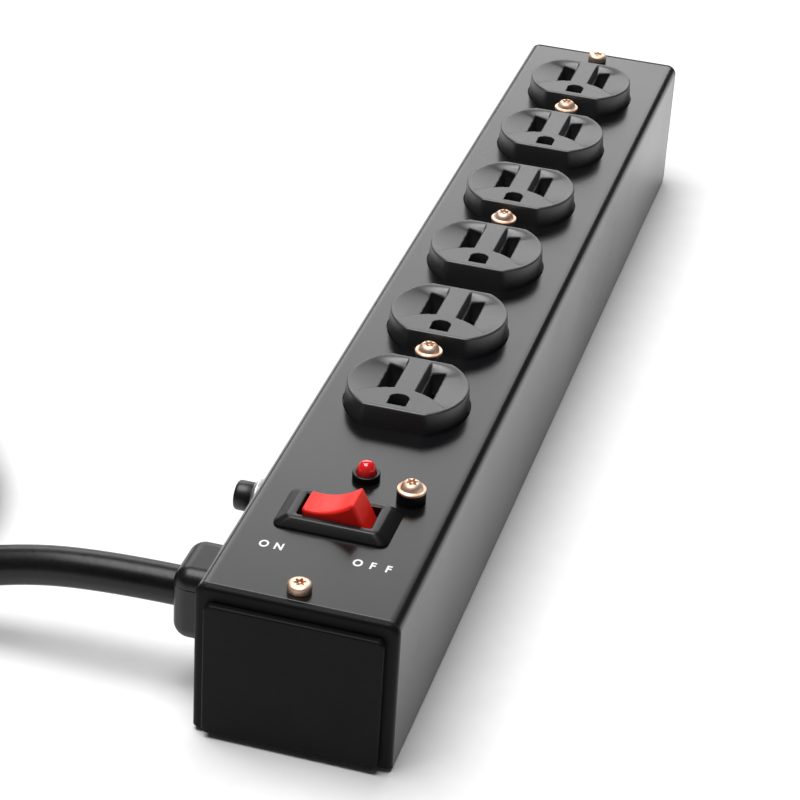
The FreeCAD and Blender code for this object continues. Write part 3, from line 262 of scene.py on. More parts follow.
materials = {
    "housing_paint": enamelledSteel(),
    # polycarbonate end caps, moulded with a fine matt grain
    "cap_plastic": mouldedPlastic("matt black polycarbonate, moulded", {
        "dark": "#090909", "light": "#0f0f10", "roughness": 0.5, "specular": 0.12,
        "grainMm": 0.55, "grainDepthMm": 0.02,
    }),
    # nylon outlet faces: dull, slightly dusty black
    "outlet_face_plastic": mouldedPlastic("satin black nylon, moulded", {
        "dark": "#202021", "light": "#282829", "roughness": 0.4, "specular": 0.95,
        "grainMm": 0.4, "grainDepthMm": 0.012,
    }),
    "outlet_back_plastic": mouldedPlastic("black phenolic, moulded", {
        "dark": "#121110", "light": "#1c1a18", "roughness": 0.55, "grainMm": 0.6, "grainDepthMm": 0.03,
    }),
    # same nylon made darker and duller on the walls of the wells and the ground hole, as painted shade there
    "well_painted_shade": mouldedPlastic("black nylon darkened as painted shade in wells", {
        "dark": "#050505", "light": "#090909", "roughness": 0.75, "specular": 0.12,
        "grainMm": 0.4, "grainDepthMm": 0.02,
    }),
    # glass-filled nylon small parts
    "black_nylon": mouldedPlastic("black glass-filled nylon, moulded", {
        "dark": "#0b0b0c", "light": "#141415", "roughness": 0.34, "specular": 0.4,
        "grainMm": 0.35, "grainDepthMm": 0.012,
    }),
    # ABS rocker, polished mould, so a clear reflection over a deep red
    "rocker_plastic": mouldedPlastic("glossy red ABS, moulded", {
        "dark": "#e61c14", "light": "#f0281e", "roughness": 0.38, "specular": 0.28,
        "grainMm": 1.2, "grainDepthMm": 0.006,
    }),
    "breaker_plastic": mouldedPlastic("black thermoset, moulded", {
        "dark": "#0f0f10", "light": "#191919", "roughness": 0.38, "grainMm": 0.3, "grainDepthMm": 0.012,
    }),
    "cord_jacket": mouldedPlastic("black flexible vinyl, extruded", {
        "dark": "#0a0a0b", "light": "#111112", "roughness": 0.32, "specular": 0.32,
        "grainMm": 1.1, "grainDepthMm": 0.02,
    }),
    "plug_vinyl": mouldedPlastic("black vinyl, moulded", {
        "dark": "#101011", "light": "#181819", "roughness": 0.42, "grainMm": 0.5, "grainDepthMm": 0.02,
    }),
    "board_laminate": mouldedPlastic("green solder mask on glass laminate", {
        "dark": "#14522a", "light": "#1d6a38", "roughness": 0.35, "grainMm": 0.8, "grainDepthMm": 0.02,
    }),
    "standoff_nylon": mouldedPlastic("natural nylon, moulded", {
        "dark": "#d8d2c2", "light": "#e6e1d4", "roughness": 0.5, "grainMm": 0.5, "grainDepthMm": 0.02,
    }),
    "varistor_coat": mouldedPlastic("blue epoxy, dipped", {
        "dark": "#123a86", "light": "#1a4a9e", "roughness": 0.3, "grainMm": 1.5, "grainDepthMm": 0.05,
    }),
    "wire_black": mouldedPlastic("black vinyl insulation, extruded", {
        "dark": "#121213", "light": "#1a1a1b", "roughness": 0.4, "grainMm": 0.8, "grainDepthMm": 0.02,
    }),
    "wire_white": mouldedPlastic("white vinyl insulation, extruded", {
        "dark": "#d9d8d2", "light": "#e8e7e2", "roughness": 0.4, "grainMm": 0.8, "grainDepthMm": 0.02,
    }),
    "wire_green": mouldedPlastic("green vinyl insulation, extruded", {
        "dark": "#14692c", "light": "#1c8038", "roughness": 0.4, "grainMm": 0.8, "grainDepthMm": 0.02,
    }),
    # zinc plated screws with a yellow-pink passivated film
    "zinc_screw": turnedMetal("passivated zinc on steel, cold headed", {
        "dark": "#e0b294", "light": "#f6e2d0", "roughness": 0.5, "driftMm": 2.0,
    }),
    "yoke_steel": turnedMetal("zinc plated steel, stamped", {
        "dark": "#b4b6b8", "light": "#cfd1d2", "roughness": 0.34, "driftMm": 5,
    }),
    "contact_brass": turnedMetal("brass, stamped", {
        "dark": "#c9a45c", "light": "#dcbd7c", "roughness": 0.28, "driftMm": 4,
    }),
    "breaker_nickel": turnedMetal("nickel plated brass, turned", {
        "dark": "#dedcd8", "light": "#f6f4f1", "roughness": 0.38, "driftMm": 3,
    }),
    "lamp_plastic": clearRed(),
    "neon_glass": glassTube(),
    # screen-printed epoxy ink
    "legend_ink": mouldedPlastic("white epoxy ink, screen printed", {
        "dark": "#e6e6e6", "light": "#f4f4f4", "roughness": 0.5, "grainMm": 0.3, "grainDepthMm": 0.004,
    }),
    # hook-and-loop strap: short pile
    "strap_weave": mouldedPlastic("black nylon hook-and-loop strap, woven", {
        "dark": "#131313", "light": "#262627", "roughness": 0.85, "specular": 0.2,
        "grainMm": 0.5, "grainDepthMm": 0.12,
    }),
}

slotOf = {part["node"]: part["material_slot"] for part in frame["record"]["subparts"]}
for nodeName, node in frame["nodes"].items():
    node.data.materials.clear()
    node.data.materials.append(materials[slotOf[nodeName]])
print(f"{len(materials)} materials made")



def addPiece(name, mesh, slot, body=root, replaces=(), smoothAngle=32, material=None):
    # Puts a finished mesh in the scene with its material and body, and hides the CAD nodes it stands for
    mesh.materials.append(materials[material or slot])
    mesh.polygons.foreach_set("use_smooth", [True] * len(mesh.polygons))
    mesh.set_sharp_from_angle(angle=math.radians(smoothAngle))
    piece = bpy.data.objects.new(name, mesh)
    scene.collection.objects.link(piece)
    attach(piece, body)
    if replaces:
        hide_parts(*replaces)
    return piece


def meshFrom(name, build):
    shape = bmesh.new()
    build(shape)
    bmesh.ops.recalc_face_normals(shape, faces=shape.faces)
    mesh = bpy.data.meshes.new(name)
    shape.to_mesh(mesh)
    shape.free()
    return mesh


def bevelPiece(piece, widthMm, segments=2, angle=28, clamp=False):
    bevel = piece.modifiers.new("edge rounding", "BEVEL")
    bevel.width = widthMm * mm
    bevel.segments = segments
    bevel.limit_method = "ANGLE"
    bevel.angle_limit = math.radians(angle)
    bevel.use_clamp_overlap = clamp
    weighting = piece.modifiers.new("flat faces stay flat", "WEIGHTED_NORMAL")
    weighting.weight = 100
    weighting.keep_sharp = True


def softenNode(node, widthMm, segments=2, angle=28, clamp=False):
    # The CAD shape with its sharp edges rounded as a mould or a press leaves them
    source = frame["nodes"][node]

    def build(shape):
        shape.from_mesh(source.data)
        bmesh.ops.remove_doubles(shape, verts=shape.verts, dist=2e-6)
        bmesh.ops.dissolve_limit(
            shape, angle_limit=math.radians(0.6), verts=shape.verts, edges=shape.edges
        )

    mesh = meshFrom(node + "_finished", build)
    piece = addPiece(node + "_finished", mesh, slotOf[node], source["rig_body"], [node], 180)
    for face in mesh.polygons:  # large planes stay truly flat
        face.use_smooth = face.area < 60 * mm * mm
    bevelPiece(piece, widthMm, segments, angle, clamp)
    return piece


def addLathe(shape, profile, segments=72, lobes=6):
    # Surface of rings about Z: each ring is (radius, height, how much it is lobed)
    rings = []
    for ring in profile:
        radius, height = ring[0] * mm, ring[1] * mm
        lobing = ring[2] if len(ring) > 2 else 0
        if radius == 0:
            rings.append([shape.verts.new((0, 0, height))])
            continue
        spots = []
        for index in range(segments):
            angle = 2 * math.pi * index / segments
            reach = radius * (1 + lobing * math.cos(lobes * angle))
            spots.append(shape.verts.new((reach * math.cos(angle), reach * math.sin(angle), height)))
        rings.append(spots)
    for lower, upper in zip(rings, rings[1:]):
        for index in range(segments):
            following = (index + 1) % segments
            corners = [lower[index % len(lower)], lower[following % len(lower)],
                       upper[following % len(upper)], upper[index % len(upper)]]
            shape.faces.new(list(dict.fromkeys(corners)))


def lathePiece(name, profile, slot, place, axis="z", body=root, replaces=(), segments=72, smoothAngle=32):
    mesh = meshFrom(name, lambda shape: addLathe(shape, profile, segments))
    turns = {
        "z": Matrix.Identity(4),
        "y": Matrix.Rotation(math.radians(-90), 4, "X"),
        "-x": Matrix.Rotation(math.radians(-90), 4, "Y"),
    }
    mesh.transform(Matrix.Translation(place) @ turns[axis])
    return addPiece(name, mesh, slot, body, replaces, smoothAngle)


def joinMeshes(name, meshes):  # keeps the material numbers of the faces
    whole = bmesh.new()
    for mesh in meshes:
        whole.from_mesh(mesh)
    joined = bpy.data.meshes.new(name)
    whole.to_mesh(joined)
    whole.free()
    return joined


cord = {
    "diameterMm": 10.5,
    "coilMiddleMm": (-167.9, -117.0),
    "outerTurnMm": 54.7,
    "pointsPerTurn": 16,
    "turns": 5.25,
    "lengthM": 1.83,
}

cordLeadMm = [
    (-36.2, -154.5, 27.0), (-59.8, -154.5, 26.8), (-85.3, -154.9, 22.6), (-111.3, -158.6, 14.2),
    (-139.6, -167.9, 6.65),
]


def smoothStep(value, start, end):
    share = min(max((value - start) / (end - start), 0), 1)
    return share * share * (3 - 2 * share)


def coilPointsMm():
    # Turns beside and on each other: out, in, up, out, up, as the cord is wound
    size = cord["diameterMm"]
    steps = int(cord["turns"] * cord["pointsPerTurn"])
    points = []
    for step in range(steps + 1):
        swept = step / cord["pointsPerTurn"]  # in turns
        inward = smoothStep(swept, 0.8, 1.05) - smoothStep(swept, 2.8, 3.05)
        inward += smoothStep(swept, 3.8, 4.05) - smoothStep(swept, 4.85, 5.15)
        climb = smoothStep(swept, 1.8, 2.1) + smoothStep(swept, 3.8, 4.1)
        radius = cord["outerTurnMm"] - size * 1.02 * inward
        height = size * (0.5 + 1.01 * climb)
        angle = math.radians(-90) - 2 * math.pi * swept
        points.append((
            cord["coilMiddleMm"][0] + radius * math.cos(angle),
            cord["coilMiddleMm"][1] + radius * math.sin(angle),
            height,
        ))
    return points


def addCord():
    neckLow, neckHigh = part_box("plug_body")
    plugX = (neckLow.x + neckHigh.x) / 2 / mm
    plugZ = (neckLow.z + neckHigh.z) / 2 / mm
    neckY = neckLow.y / mm
    coil = coilPointsMm()
    leaveX, leaveY, leaveZ = coil[-1]
    tail = [
        (leaveX, leaveY + 20, leaveZ - 0.8),
        (leaveX + 3.0, leaveY + 42, leaveZ - 6.0),
        (plugX, neckY - 22, plugZ + 1.5),
        (plugX, neckY + 2, plugZ),
    ]
    route = cordLeadMm + coil + tail
    curve = bpy.data.curves.new("supply_cord", "CURVE")
    curve.dimensions = "3D"
    spline = curve.splines.new("NURBS")
    spline.points.add(len(route) - 1)
    for point, place in zip(spline.points, route):
        point.co = (*[value * mm for value in place], 1)
    spline.order_u = 3
    spline.use_endpoint_u = True
    spline.resolution_u = 8
    curve.bevel_depth = cord["diameterMm"] * mm / 2
    curve.bevel_resolution = 10
    curve.use_fill_caps = True
    curve.materials.append(materials["cord_jacket"])
    piece = bpy.data.objects.new("supply_cord", curve)
    scene.collection.objects.link(piece)
    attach(piece, root)
    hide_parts("cord", "cord_coil", "cord_tail")
    return piece


supplyCord = addCord()
print("cord laid")


plugLook = {"neckRibs": 6, "ribMm": 0.7}


def addPlug():
    low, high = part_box("plug_body")
    middle = ((low.x + high.x) / 2, low.y, (low.z + high.z) / 2)
    neck, length, radius = 14.0, (high.y - low.y) / mm, (high.x - low.x) / 2 / mm
    profile = [(0, 0), (5.4, 0), (6.4, 0.4)]
    for index in range(plugLook["neckRibs"]):  # flexible ribs over the cord's end
        start = 0.9 + index * (neck - 1.4) / plugLook["neckRibs"]
        reach = 6.6 + 0.33 * index
        profile += [(reach, start), (reach, start + 1.1), (reach - plugLook["ribMm"], start + 1.4),
                    (reach - plugLook["ribMm"], start + 1.9)]
    profile += [
        (9.2, neck), (10.6, neck + 1.2), (11.6, neck + 4), (11.2, neck + 9), (10.9, neck + 15),
        (11.4, neck + 21), (12.4, neck + 26), (radius, neck + 28), (radius, length - 1.0),
        (radius - 0.4, length - 0.25), (radius - 1.2, length), (0, length),
    ]
    return lathePiece("plug_grip", profile, "plug_vinyl", middle, "y", replaces=["plug_body"])


plug = addPlug()
blades = softenNode("plug_blades", 0.3)
groundPinLow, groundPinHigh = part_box("plug_ground_pin")
groundPin = lathePiece(
    "plug_earth_pin",
    [(0, 0), (2.4, 0), (2.4, 18.6), (2.1, 19.6), (1.4, 20.3), (0.6, 20.5), (0, 20.5)],
    "contact_brass",
    ((groundPinLow.x + groundPinHigh.x) / 2, groundPinLow.y, (groundPinLow.z + groundPinHigh.z) / 2),
    "y", replaces=["plug_ground_pin"],
)


def addTie():
    # Strap round the coil's section on its far side
    inner = cord["outerTurnMm"] - 1.5 * cord["diameterMm"] - 0.6
    outer = cord["outerTurnMm"] + 0.5 * cord["diameterMm"] + 0.6
    tall = 3 * cord["diameterMm"] + 1.2
    wide, thick, corner, steps = 14.0, 1.0, 4.5, 6

    def build(shape):
        loops = []
        for grow in (0, thick):
            loop = []
            for cx, cz, start in (
                (outer - corner, tall - corner, 0), (inner + corner, tall - corner, 90),
                (inner + corner, corner, 180), (outer - corner, corner, 270),
            ):
                for step in range(steps + 1):
                    angle = math.radians(start + 90 * step / steps)
                    reach = corner + grow
                    loop.append((cx + reach * math.cos(angle), max(cz + reach * math.sin(angle), 0.02 + grow * 0)))
            loops.append(loop)
        rows = []
        for side in (-wide / 2, wide / 2):
            for loop in loops:
                rows.append([shape.verts.new((x * mm, side * mm, z * mm)) for x, z in loop])
        count = len(rows[0])
        for a, b in ((0, 1), (1, 3), (3, 2), (2, 0)):
            for index in range(count):
                following = (index + 1) % count
                shape.faces.new((rows[a][index], rows[a][following], rows[b][following], rows[b][index]))

    mesh = meshFrom("coil_tie", build)
    middle = cord["coilMiddleMm"]
    mesh.transform(
        Matrix.Translation((middle[0] * mm, middle[1] * mm, 0)) @ Matrix.Rotation(math.radians(60), 4, "Z")
    )
    return addPiece("coil_tie", mesh, "cord_jacket", material="strap_weave")


tie = addTie()
print("plug and tie made")


softenNode("housing", 0.2)
for cap in ("front_cap", "rear_cap"):
    softenNode(cap, 0.3, clamp=True)
print("housing finished")


outlet = {
    "radiusMm": 17.2, "flatsMm": 14.35, "draftMm": 0.45, "roundingMm": 0.6,
    "ridgeMm": 3.0, "funnelMm": 3.1, "funnelRadiusMm": 16.0, "farMm": (13.4, 8.8),
    "landRadiusMm": 15.1, "landMiddleMm": -18.1, "stepMm": 0.45, "gridMm": 0.5,
    "wellMm": (5.95, 3.5, 1.95, 6.7), "wellDepthMm": 6.5,  # middle x, middle y, half width, half length
    "groundMm": (2.7, -8.7, -12.0),  # half width, centre of the round end, straight end
    "postMm": 3.6,
}


def ramp(value, start, end):
    return smoothStep(value, start, end) if end > start else 1 - smoothStep(value, end, start)


def faceHeight(x, y):
    # blade funnels: deepest beside the ridge, rising to the rim, cut off by the land of the ground hole
    across = abs(x)
    fromLand = math.hypot(x, y - outlet["landMiddleMm"]) - outlet["landRadiusMm"]
    edge = math.sqrt(max(outlet["funnelRadiusMm"] ** 2 - y * y, 0.01))
    slope = 1 - (across - outlet["ridgeMm"]) / max(edge - outlet["ridgeMm"], 0.5)
    depth = outlet["funnelMm"] * min(max(slope, 0), 1)
    depth *= ramp(across, outlet["ridgeMm"], outlet["ridgeMm"] + outlet["stepMm"])
    depth *= ramp(fromLand, 0, outlet["stepMm"])
    depth *= ramp(y, *outlet["farMm"])
    return -depth


def faceOutline(inset, count=120):
    points = []
    for index in range(count):
        angle = 2 * math.pi * (index + 0.5) / count
        reach = outlet["radiusMm"] - outlet["draftMm"] - inset
        flat = outlet["flatsMm"] - inset
        reach = min(reach, flat / max(abs(math.sin(angle)), 0.001))
        points.append((reach * math.cos(angle), reach * math.sin(angle)))
    return points


def wellLoop(side, halfWide, halfLong, step):
    middleX, middleY = outlet["wellMm"][0] * side, outlet["wellMm"][1]
    across, along = max(round(2 * halfWide / step), 2), max(round(2 * halfLong / step), 2)
    loop = [(-halfWide + 2 * halfWide * i / across, -halfLong) for i in range(across)]
    loop += [(halfWide, -halfLong + 2 * halfLong * i / along) for i in range(along)]
    loop += [(halfWide - 2 * halfWide * i / across, halfLong) for i in range(across)]
    loop += [(-halfWide, halfLong - 2 * halfLong * i / along) for i in range(along)]
    return [(middleX + x, middleY + y) for x, y in loop]


def groundLoop():
    wide, middle, near = outlet["groundMm"]
    arc = [(wide * math.cos(math.pi * i / 16), middle + wide * math.sin(math.pi * i / 16)) for i in range(17)]
    base = [(-wide + 2 * wide * i / 8, near) for i in range(9)]
    return arc + base


def inLoop(x, y, loop):
    inside = False
    for (ax, ay), (bx, by) in zip(loop, loop[1:] + loop[:1]):
        if (ay > y) != (by > y) and x < (bx - ax) * (y - ay) / (by - ay) + ax:
            inside = not inside
    return inside


def outletTop():
    # one face about its own middle, in mm until the end, top at zero
    outline = faceOutline(outlet["roundingMm"])
    _, _, halfWide, halfLong = outlet["wellMm"]
    wells = [wellLoop(side, halfWide, halfLong, outlet["gridMm"]) for side in (-1, 1)]
    holes = wells + [groundLoop()]
    points, edges = [], []
    for loop in [outline] + holes:
        start = len(points)
        points += loop
        edges += [(start + i, start + (i + 1) % len(loop)) for i in range(len(loop))]
    border = [Vector(point) for point in points]
    step = outlet["gridMm"]
    reach = int(outlet["radiusMm"] / step) + 1
    for row in range(-reach, reach + 1):
        for column in range(-reach, reach + 1):
            spot = Vector(((column + 0.5 * (row % 2)) * step, row * step * 0.866))
            if not inLoop(spot.x, spot.y, outline) or any(inLoop(spot.x, spot.y, hole) for hole in holes):
                continue
            if min((spot - other).length for other in border) > step * 0.45:
                points.append((spot.x, spot.y))
    flat = delaunay_2d_cdt([Vector(point) for point in points], edges, [], 0, 1e-5)
    shape = bmesh.new()
    spots = [shape.verts.new((p.x, p.y, faceHeight(p.x, p.y))) for p in flat[0]]
    for corners in flat[2]:
        middle = sum((flat[0][i] for i in corners), Vector((0, 0))) / len(corners)
        if inLoop(middle.x, middle.y, outline) and not any(inLoop(middle.x, middle.y, hole) for hole in holes):
            shape.faces.new([spots[i] for i in corners])

    def wall(rings, materialNumber=0):
        rows = [[shape.verts.new(spot) for spot in ring] for ring in rings]
        for upper, lower in zip(rows, rows[1:]):
            for index in range(len(upper)):
                following = (index + 1) % len(upper)
                corners = (upper[index], upper[following], lower[following], lower[index])
                shape.faces.new(corners).material_index = materialNumber

    low = -(faceTop - plateCut) / mm
    rounding = outlet["roundingMm"]
    rings = []
    for turn in range(5):  # rounded rim
        angle = math.radians(90 * turn / 4)
        inset = rounding * (1 - math.sin(angle))
        rings.append([(x, y, -rounding * (1 - math.cos(angle))) for x, y in faceOutline(inset)])
    rings.append([(x, y, low) for x, y in faceOutline(-outlet["draftMm"])])
    wall(rings)
    # the walls of the wells, slots and ground hole take material 1, the darker nylon that is painted shade
    deep = -outlet["wellDepthMm"]
    for side, well in zip((-1, 1), wells):
        slotX = 6.35 * side - outlet["wellMm"][0] * side
        slot = []
        for x, y in well:
            across = (x - outlet["wellMm"][0] * side) * 1.2 / halfWide
            slot.append((outlet["wellMm"][0] * side + slotX + across, 3.2 + (y - outlet["wellMm"][1]) * 4.3 / halfLong))
        wall([
            [(x, y, faceHeight(x, y)) for x, y in well], [(x, y, deep) for x, y in well],
            [(x, y, deep) for x, y in slot], [(x, y, low) for x, y in slot],
        ], 1)
    wall([[(x, y, faceHeight(x, y)) for x, y in groundLoop()], [(x, y, low) for x, y in groundLoop()]], 1)
    bmesh.ops.remove_doubles(shape, verts=shape.verts, dist=0.002)
    bmesh.ops.scale(shape, vec=(mm, mm, mm), verts=shape.verts)
    bmesh.ops.recalc_face_normals(shape, faces=shape.faces)
    mesh = bpy.data.meshes.new("outlet_top")
    shape.to_mesh(mesh)
    shape.free()
    return mesh


faceLow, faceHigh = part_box("duplex_face_1")
faceTop = faceHigh.z
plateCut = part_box("housing")[1].z - 1.2 * mm
outletTopMesh = outletTop()


def addDuplex(index):
    source = frame["nodes"][f"duplex_face_{index}"]
    low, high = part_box(source.name)
    middleX, middleY = (low.x + high.x) / 2, (low.y + high.y) / 2
    plateX = (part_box("duplex_screws")[0].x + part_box("duplex_screws")[1].x) / 2
    under = bmesh.new()
    under.from_mesh(source.data)
    cutGeometry = under.verts[:] + under.edges[:] + under.faces[:]
    bmesh.ops.bisect_plane(
        under, geom=cutGeometry, plane_co=(0, 0, plateCut + 0.02 * mm), plane_no=(0, 0, 1), clear_outer=True
    )
    whole = bpy.data.meshes.new("under")
    under.to_mesh(whole)
    under.free()
    parts = [whole]
    for side in (-1, 1):
        top = outletTopMesh.copy()
        top.transform(Matrix.Translation((plateX, middleY + side * outletPitch / 2, faceTop)))
        parts.append(top)
    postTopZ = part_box("duplex_screws")[1].z - 2.6 * mm
    tall = (postTopZ - plateCut) / mm
    reach = outlet["postMm"]
    post = meshFrom("post", lambda shape: addLathe(
        shape, [(reach, -tall), (reach, -0.5), (reach - 0.12, -0.15), (reach - 0.5, 0), (1.65, 0), (1.65, -tall)]
    ))
    post.transform(Matrix.Translation((plateX, middleY, postTopZ)))
    parts.append(post)
    # the second material is the darker nylon painted as shade on the walls of the wells
    addPiece(
        f"outlet_pair_{index}", joinMeshes(f"outlet_pair_{index}", parts), "outlet_face_plastic",
        replaces=[source.name], smoothAngle=42,
    ).data.materials.append(materials["well_painted_shade"])


outletPitch = (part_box("duplex_face_2")[0].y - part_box("duplex_face_1")[0].y) / 2
for index in (1, 2, 3):
    addDuplex(index)
print("outlets finished")


screw = {"shankMm": 1.5, "pitchMm": 0.9, "recessMm": 1.25, "lobing": 0.26}


def shankProfile(lengthMm):
    profile = [(0, -lengthMm), (screw["shankMm"] * 0.7, -lengthMm)]
    threads = int((lengthMm - 0.8) / screw["pitchMm"])
    for index in range(threads):
        low = -lengthMm + 0.4 + index * screw["pitchMm"]
        profile += [(screw["shankMm"] * 0.8, low), (screw["shankMm"], low + screw["pitchMm"] / 2)]
    profile.append((screw["shankMm"] * 0.8, -0.35))
    return profile


def recessProfile(topMm, depthMm):
    # Six-lobe socket with its centre pin
    reach, lobing = screw["recessMm"], screw["lobing"]
    return [
        (reach * 1.06, topMm + 0.01, lobing), (reach, topMm - 0.12, lobing),
        (reach * 0.96, topMm - depthMm, lobing), (0.46, topMm - depthMm),
        (0.42, topMm - 0.35), (0.3, topMm - 0.2), (0, topMm - 0.18),
    ]


def panHead(shankLengthMm):
    return shankProfile(shankLengthMm) + [
        (screw["shankMm"], -0.2), (screw["shankMm"], 0.0), (2.95, 0.0), (3.1, 0.12), (3.1, 1.35),
        (3.04, 1.7), (2.86, 2.0), (2.5, 2.22), (2.05, 2.35), (1.7, 2.4),
    ] + recessProfile(2.4, 1.3)


def flangedHead(shankLengthMm):
    return shankProfile(shankLengthMm) + [
        (screw["shankMm"], -0.2), (screw["shankMm"], 0.0), (3.7, 0.0), (3.85, 0.14), (3.85, 0.5),
        (3.72, 0.66), (3.45, 0.72), (3.05, 0.74), (2.9, 0.86), (2.82, 1.25), (2.6, 1.75),
        (2.25, 2.2), (1.85, 2.48), (1.65, 2.56),
    ] + recessProfile(2.58, 1.5)


def addScrews(name, node, head, places):
    meshes = []
    for index, (x, y, z) in enumerate(places):
        mesh = meshFrom(name, lambda shape: addLathe(shape, head, 72))
        mesh.transform(Matrix.Translation((x, y, z)) @ Matrix.Rotation(0.4 + 1.3 * index, 4, "Z"))
        meshes.append(mesh)
    return addPiece(name, joinMeshes(name, meshes), "zinc_screw", replaces=[node], smoothAngle=38)


housingLow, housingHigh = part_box("housing")
topZ = housingHigh.z
endLow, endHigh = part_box("end_screws")
endX = (endLow.x + endHigh.x) / 2
headRadius = (endHigh.x - endLow.x) / 2
addScrews("end_screw_heads", "end_screws", panHead(11), [
    (endX, endLow.y + headRadius, topZ), (endX, endHigh.y - headRadius, topZ),
])
postLow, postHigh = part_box("duplex_screws")
rowX = (postLow.x + postHigh.x) / 2
flangeRadius = (postHigh.x - postLow.x) / 2
postTop = postHigh.z - 2.6 * mm
firstY, lastY = postLow.y + flangeRadius, postHigh.y - flangeRadius
addScrews("duplex_screw_heads", "duplex_screws", flangedHead((postTop - postLow.z) / mm), [
    (rowX, firstY, postTop), (rowX, (firstY + lastY) / 2, postTop), (rowX, lastY, postTop),
])
boardLow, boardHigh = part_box("board_screw")
boardX, boardY = (boardLow.x + boardHigh.x) / 2, (boardLow.y + boardHigh.y) / 2
boardTop = boardHigh.z - 2.6 * mm
addScrews("board_screw_head", "board_screw", flangedHead((boardTop - boardLow.z) / mm), [(boardX, boardY, boardTop)])
softenNode("board_screw_collar", 0.3)
print("screws made")


rocker = {
    "tilt": 17.0, "halfWidthMm": 4.65, "edgeMm": 0.85,
    # right half of the section, level, from the pivot: crown corner, waist, skirt, stem
    "sectionMm": [(7.0, 6.9), (8.0, 1.5), (8.7, -3.3), (2.6, -4.6), (2.1, -9.0)],
    "saddleMm": 5.2,
}


def saddlePoints(count=28):
    # Arc through the two crown corners and the low middle of the finger rest
    reach, high = rocker["sectionMm"][0]
    drop = high - rocker["saddleMm"]
    radius = (reach * reach + drop * drop) / (2 * drop)
    half = math.asin(reach / radius)
    centre = rocker["saddleMm"] + radius
    return [
        (radius * math.sin(half * (2 * i / count - 1)), centre - radius * math.cos(half * (2 * i / count - 1)))
        for i in range(1, count)
    ]


def addRocker():
    joint = [j for j in frame["joints"] if j["name"] == "rocker"][0]
    right = rocker["sectionMm"]
    outline = [(-x, z) for x, z in right] + right[::-1] + saddlePoints()[::-1]
    half = rocker["halfWidthMm"]

    def build(shape):
        ends = []
        for y in (-half, half):
            ends.append([shape.verts.new((x * mm, y * mm, z * mm)) for x, z in outline])
        count = len(outline)
        for index in range(count):
            following = (index + 1) % count
            shape.faces.new((ends[0][index], ends[0][following], ends[1][following], ends[1][index]))
        shape.faces.new(ends[0])
        shape.faces.new(ends[1][::-1])

    mesh = meshFrom("rocker_button", build)
    mesh.transform(
        Matrix.Translation(joint["pos_m"]) @ Matrix.Rotation(math.radians(-rocker["tilt"]), 4, "Y")
    )
    piece = addPiece("rocker_button", mesh, "rocker_plastic", "rocker", ["switch_rocker"], 180)
    bevelPiece(piece, rocker["edgeMm"], 4, 20)


addRocker()


bezel = {
    # half width, half length, corner radius, height above the housing
    "ringsMm": [
        (15.1, 8.95, 2.4, 0.0), (15.1, 8.95, 2.4, 0.35), (14.95, 8.82, 2.35, 0.6), (12.35, 7.15, 1.9, 2.2),
        (12.1, 6.98, 1.8, 2.4), (11.8, 6.75, 1.7, 2.5), (10.2, 5.35, 0.9, 2.5), (9.95, 5.1, 0.7, 2.42),
        (9.8, 4.95, 0.6, 2.2), (9.8, 4.95, 0.6, -0.4), (15.1, 8.95, 2.4, 0.0),
    ],
}


def roundedLoop(halfWide, halfLong, radius, steps=8):
    loop = []
    for quarter, (sideX, sideY) in enumerate(((1, 1), (-1, 1), (-1, -1), (1, -1))):
        for step in range(steps + 1):
            angle = math.radians(90 * (quarter + step / steps))
            loop.append((
                sideX * (halfWide - radius) + radius * math.cos(angle),
                sideY * (halfLong - radius) + radius * math.sin(angle),
            ))
    return loop


def addBezel():
    source = frame["nodes"]["switch_housing"]
    low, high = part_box("switch_housing")
    middle = ((low.x + high.x) / 2, (low.y + high.y) / 2, topZ)
    under = bmesh.new()
    under.from_mesh(source.data)
    bmesh.ops.bisect_plane(
        under, geom=under.verts[:] + under.edges[:] + under.faces[:],
        plane_co=(0, 0, topZ - 0.3 * mm), plane_no=(0, 0, 1), clear_outer=True,
    )
    body = bpy.data.meshes.new("switch_body")
    under.to_mesh(body)
    under.free()

    def build(shape):
        rows = [[shape.verts.new((x * mm, y * mm, z * mm)) for x, y in roundedLoop(a, b, r)]
                for a, b, r, z in bezel["ringsMm"]]
        for lower, upper in zip(rows, rows[1:]):
            for index in range(len(lower)):
                following = (index + 1) % len(lower)
                shape.faces.new((lower[index], lower[following], upper[following], upper[index]))
        bmesh.ops.remove_doubles(shape, verts=shape.verts, dist=1e-6)

    ring = meshFrom("bezel", build)
    ring.transform(Matrix.Translation(middle))
    addPiece("switch_bezel", joinMeshes("switch_bezel", [body, ring]), "black_nylon",
             replaces=["switch_housing"], smoothAngle=50)


addBezel()
print("switch finished")


lampLow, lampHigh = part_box("lamp_lens")
collarLow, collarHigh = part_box("lamp_collar")
lampPlace = ((collarLow.x + collarHigh.x) / 2, (collarLow.y + collarHigh.y) / 2, topZ)
lathePiece(
    "lamp_cap",
    [(0, -5.9), (1.6, -5.9), (1.6, -6.0), (2.5, -6.0), (2.5, -2.3), (3.45, -2.2), (3.45, -1.25), (2.5, -1.2),
     (2.6, 0.4), (2.62, 1.9), (2.56, 2.7), (2.4, 3.4), (2.1, 4.05), (1.7, 4.55), (1.2, 4.9), (0.6, 5.1), (0, 5.15)],
    "lamp_plastic", lampPlace, replaces=["lamp_lens"], smoothAngle=50,
)
softenNode("lamp_collar", 0.35, 3)
print("lamp finished")


neckLow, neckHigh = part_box("breaker_neck")
wallX = housingLow.x
breakerPlace = (wallX, (neckLow.y + neckHigh.y) / 2, (neckLow.z + neckHigh.z) / 2)


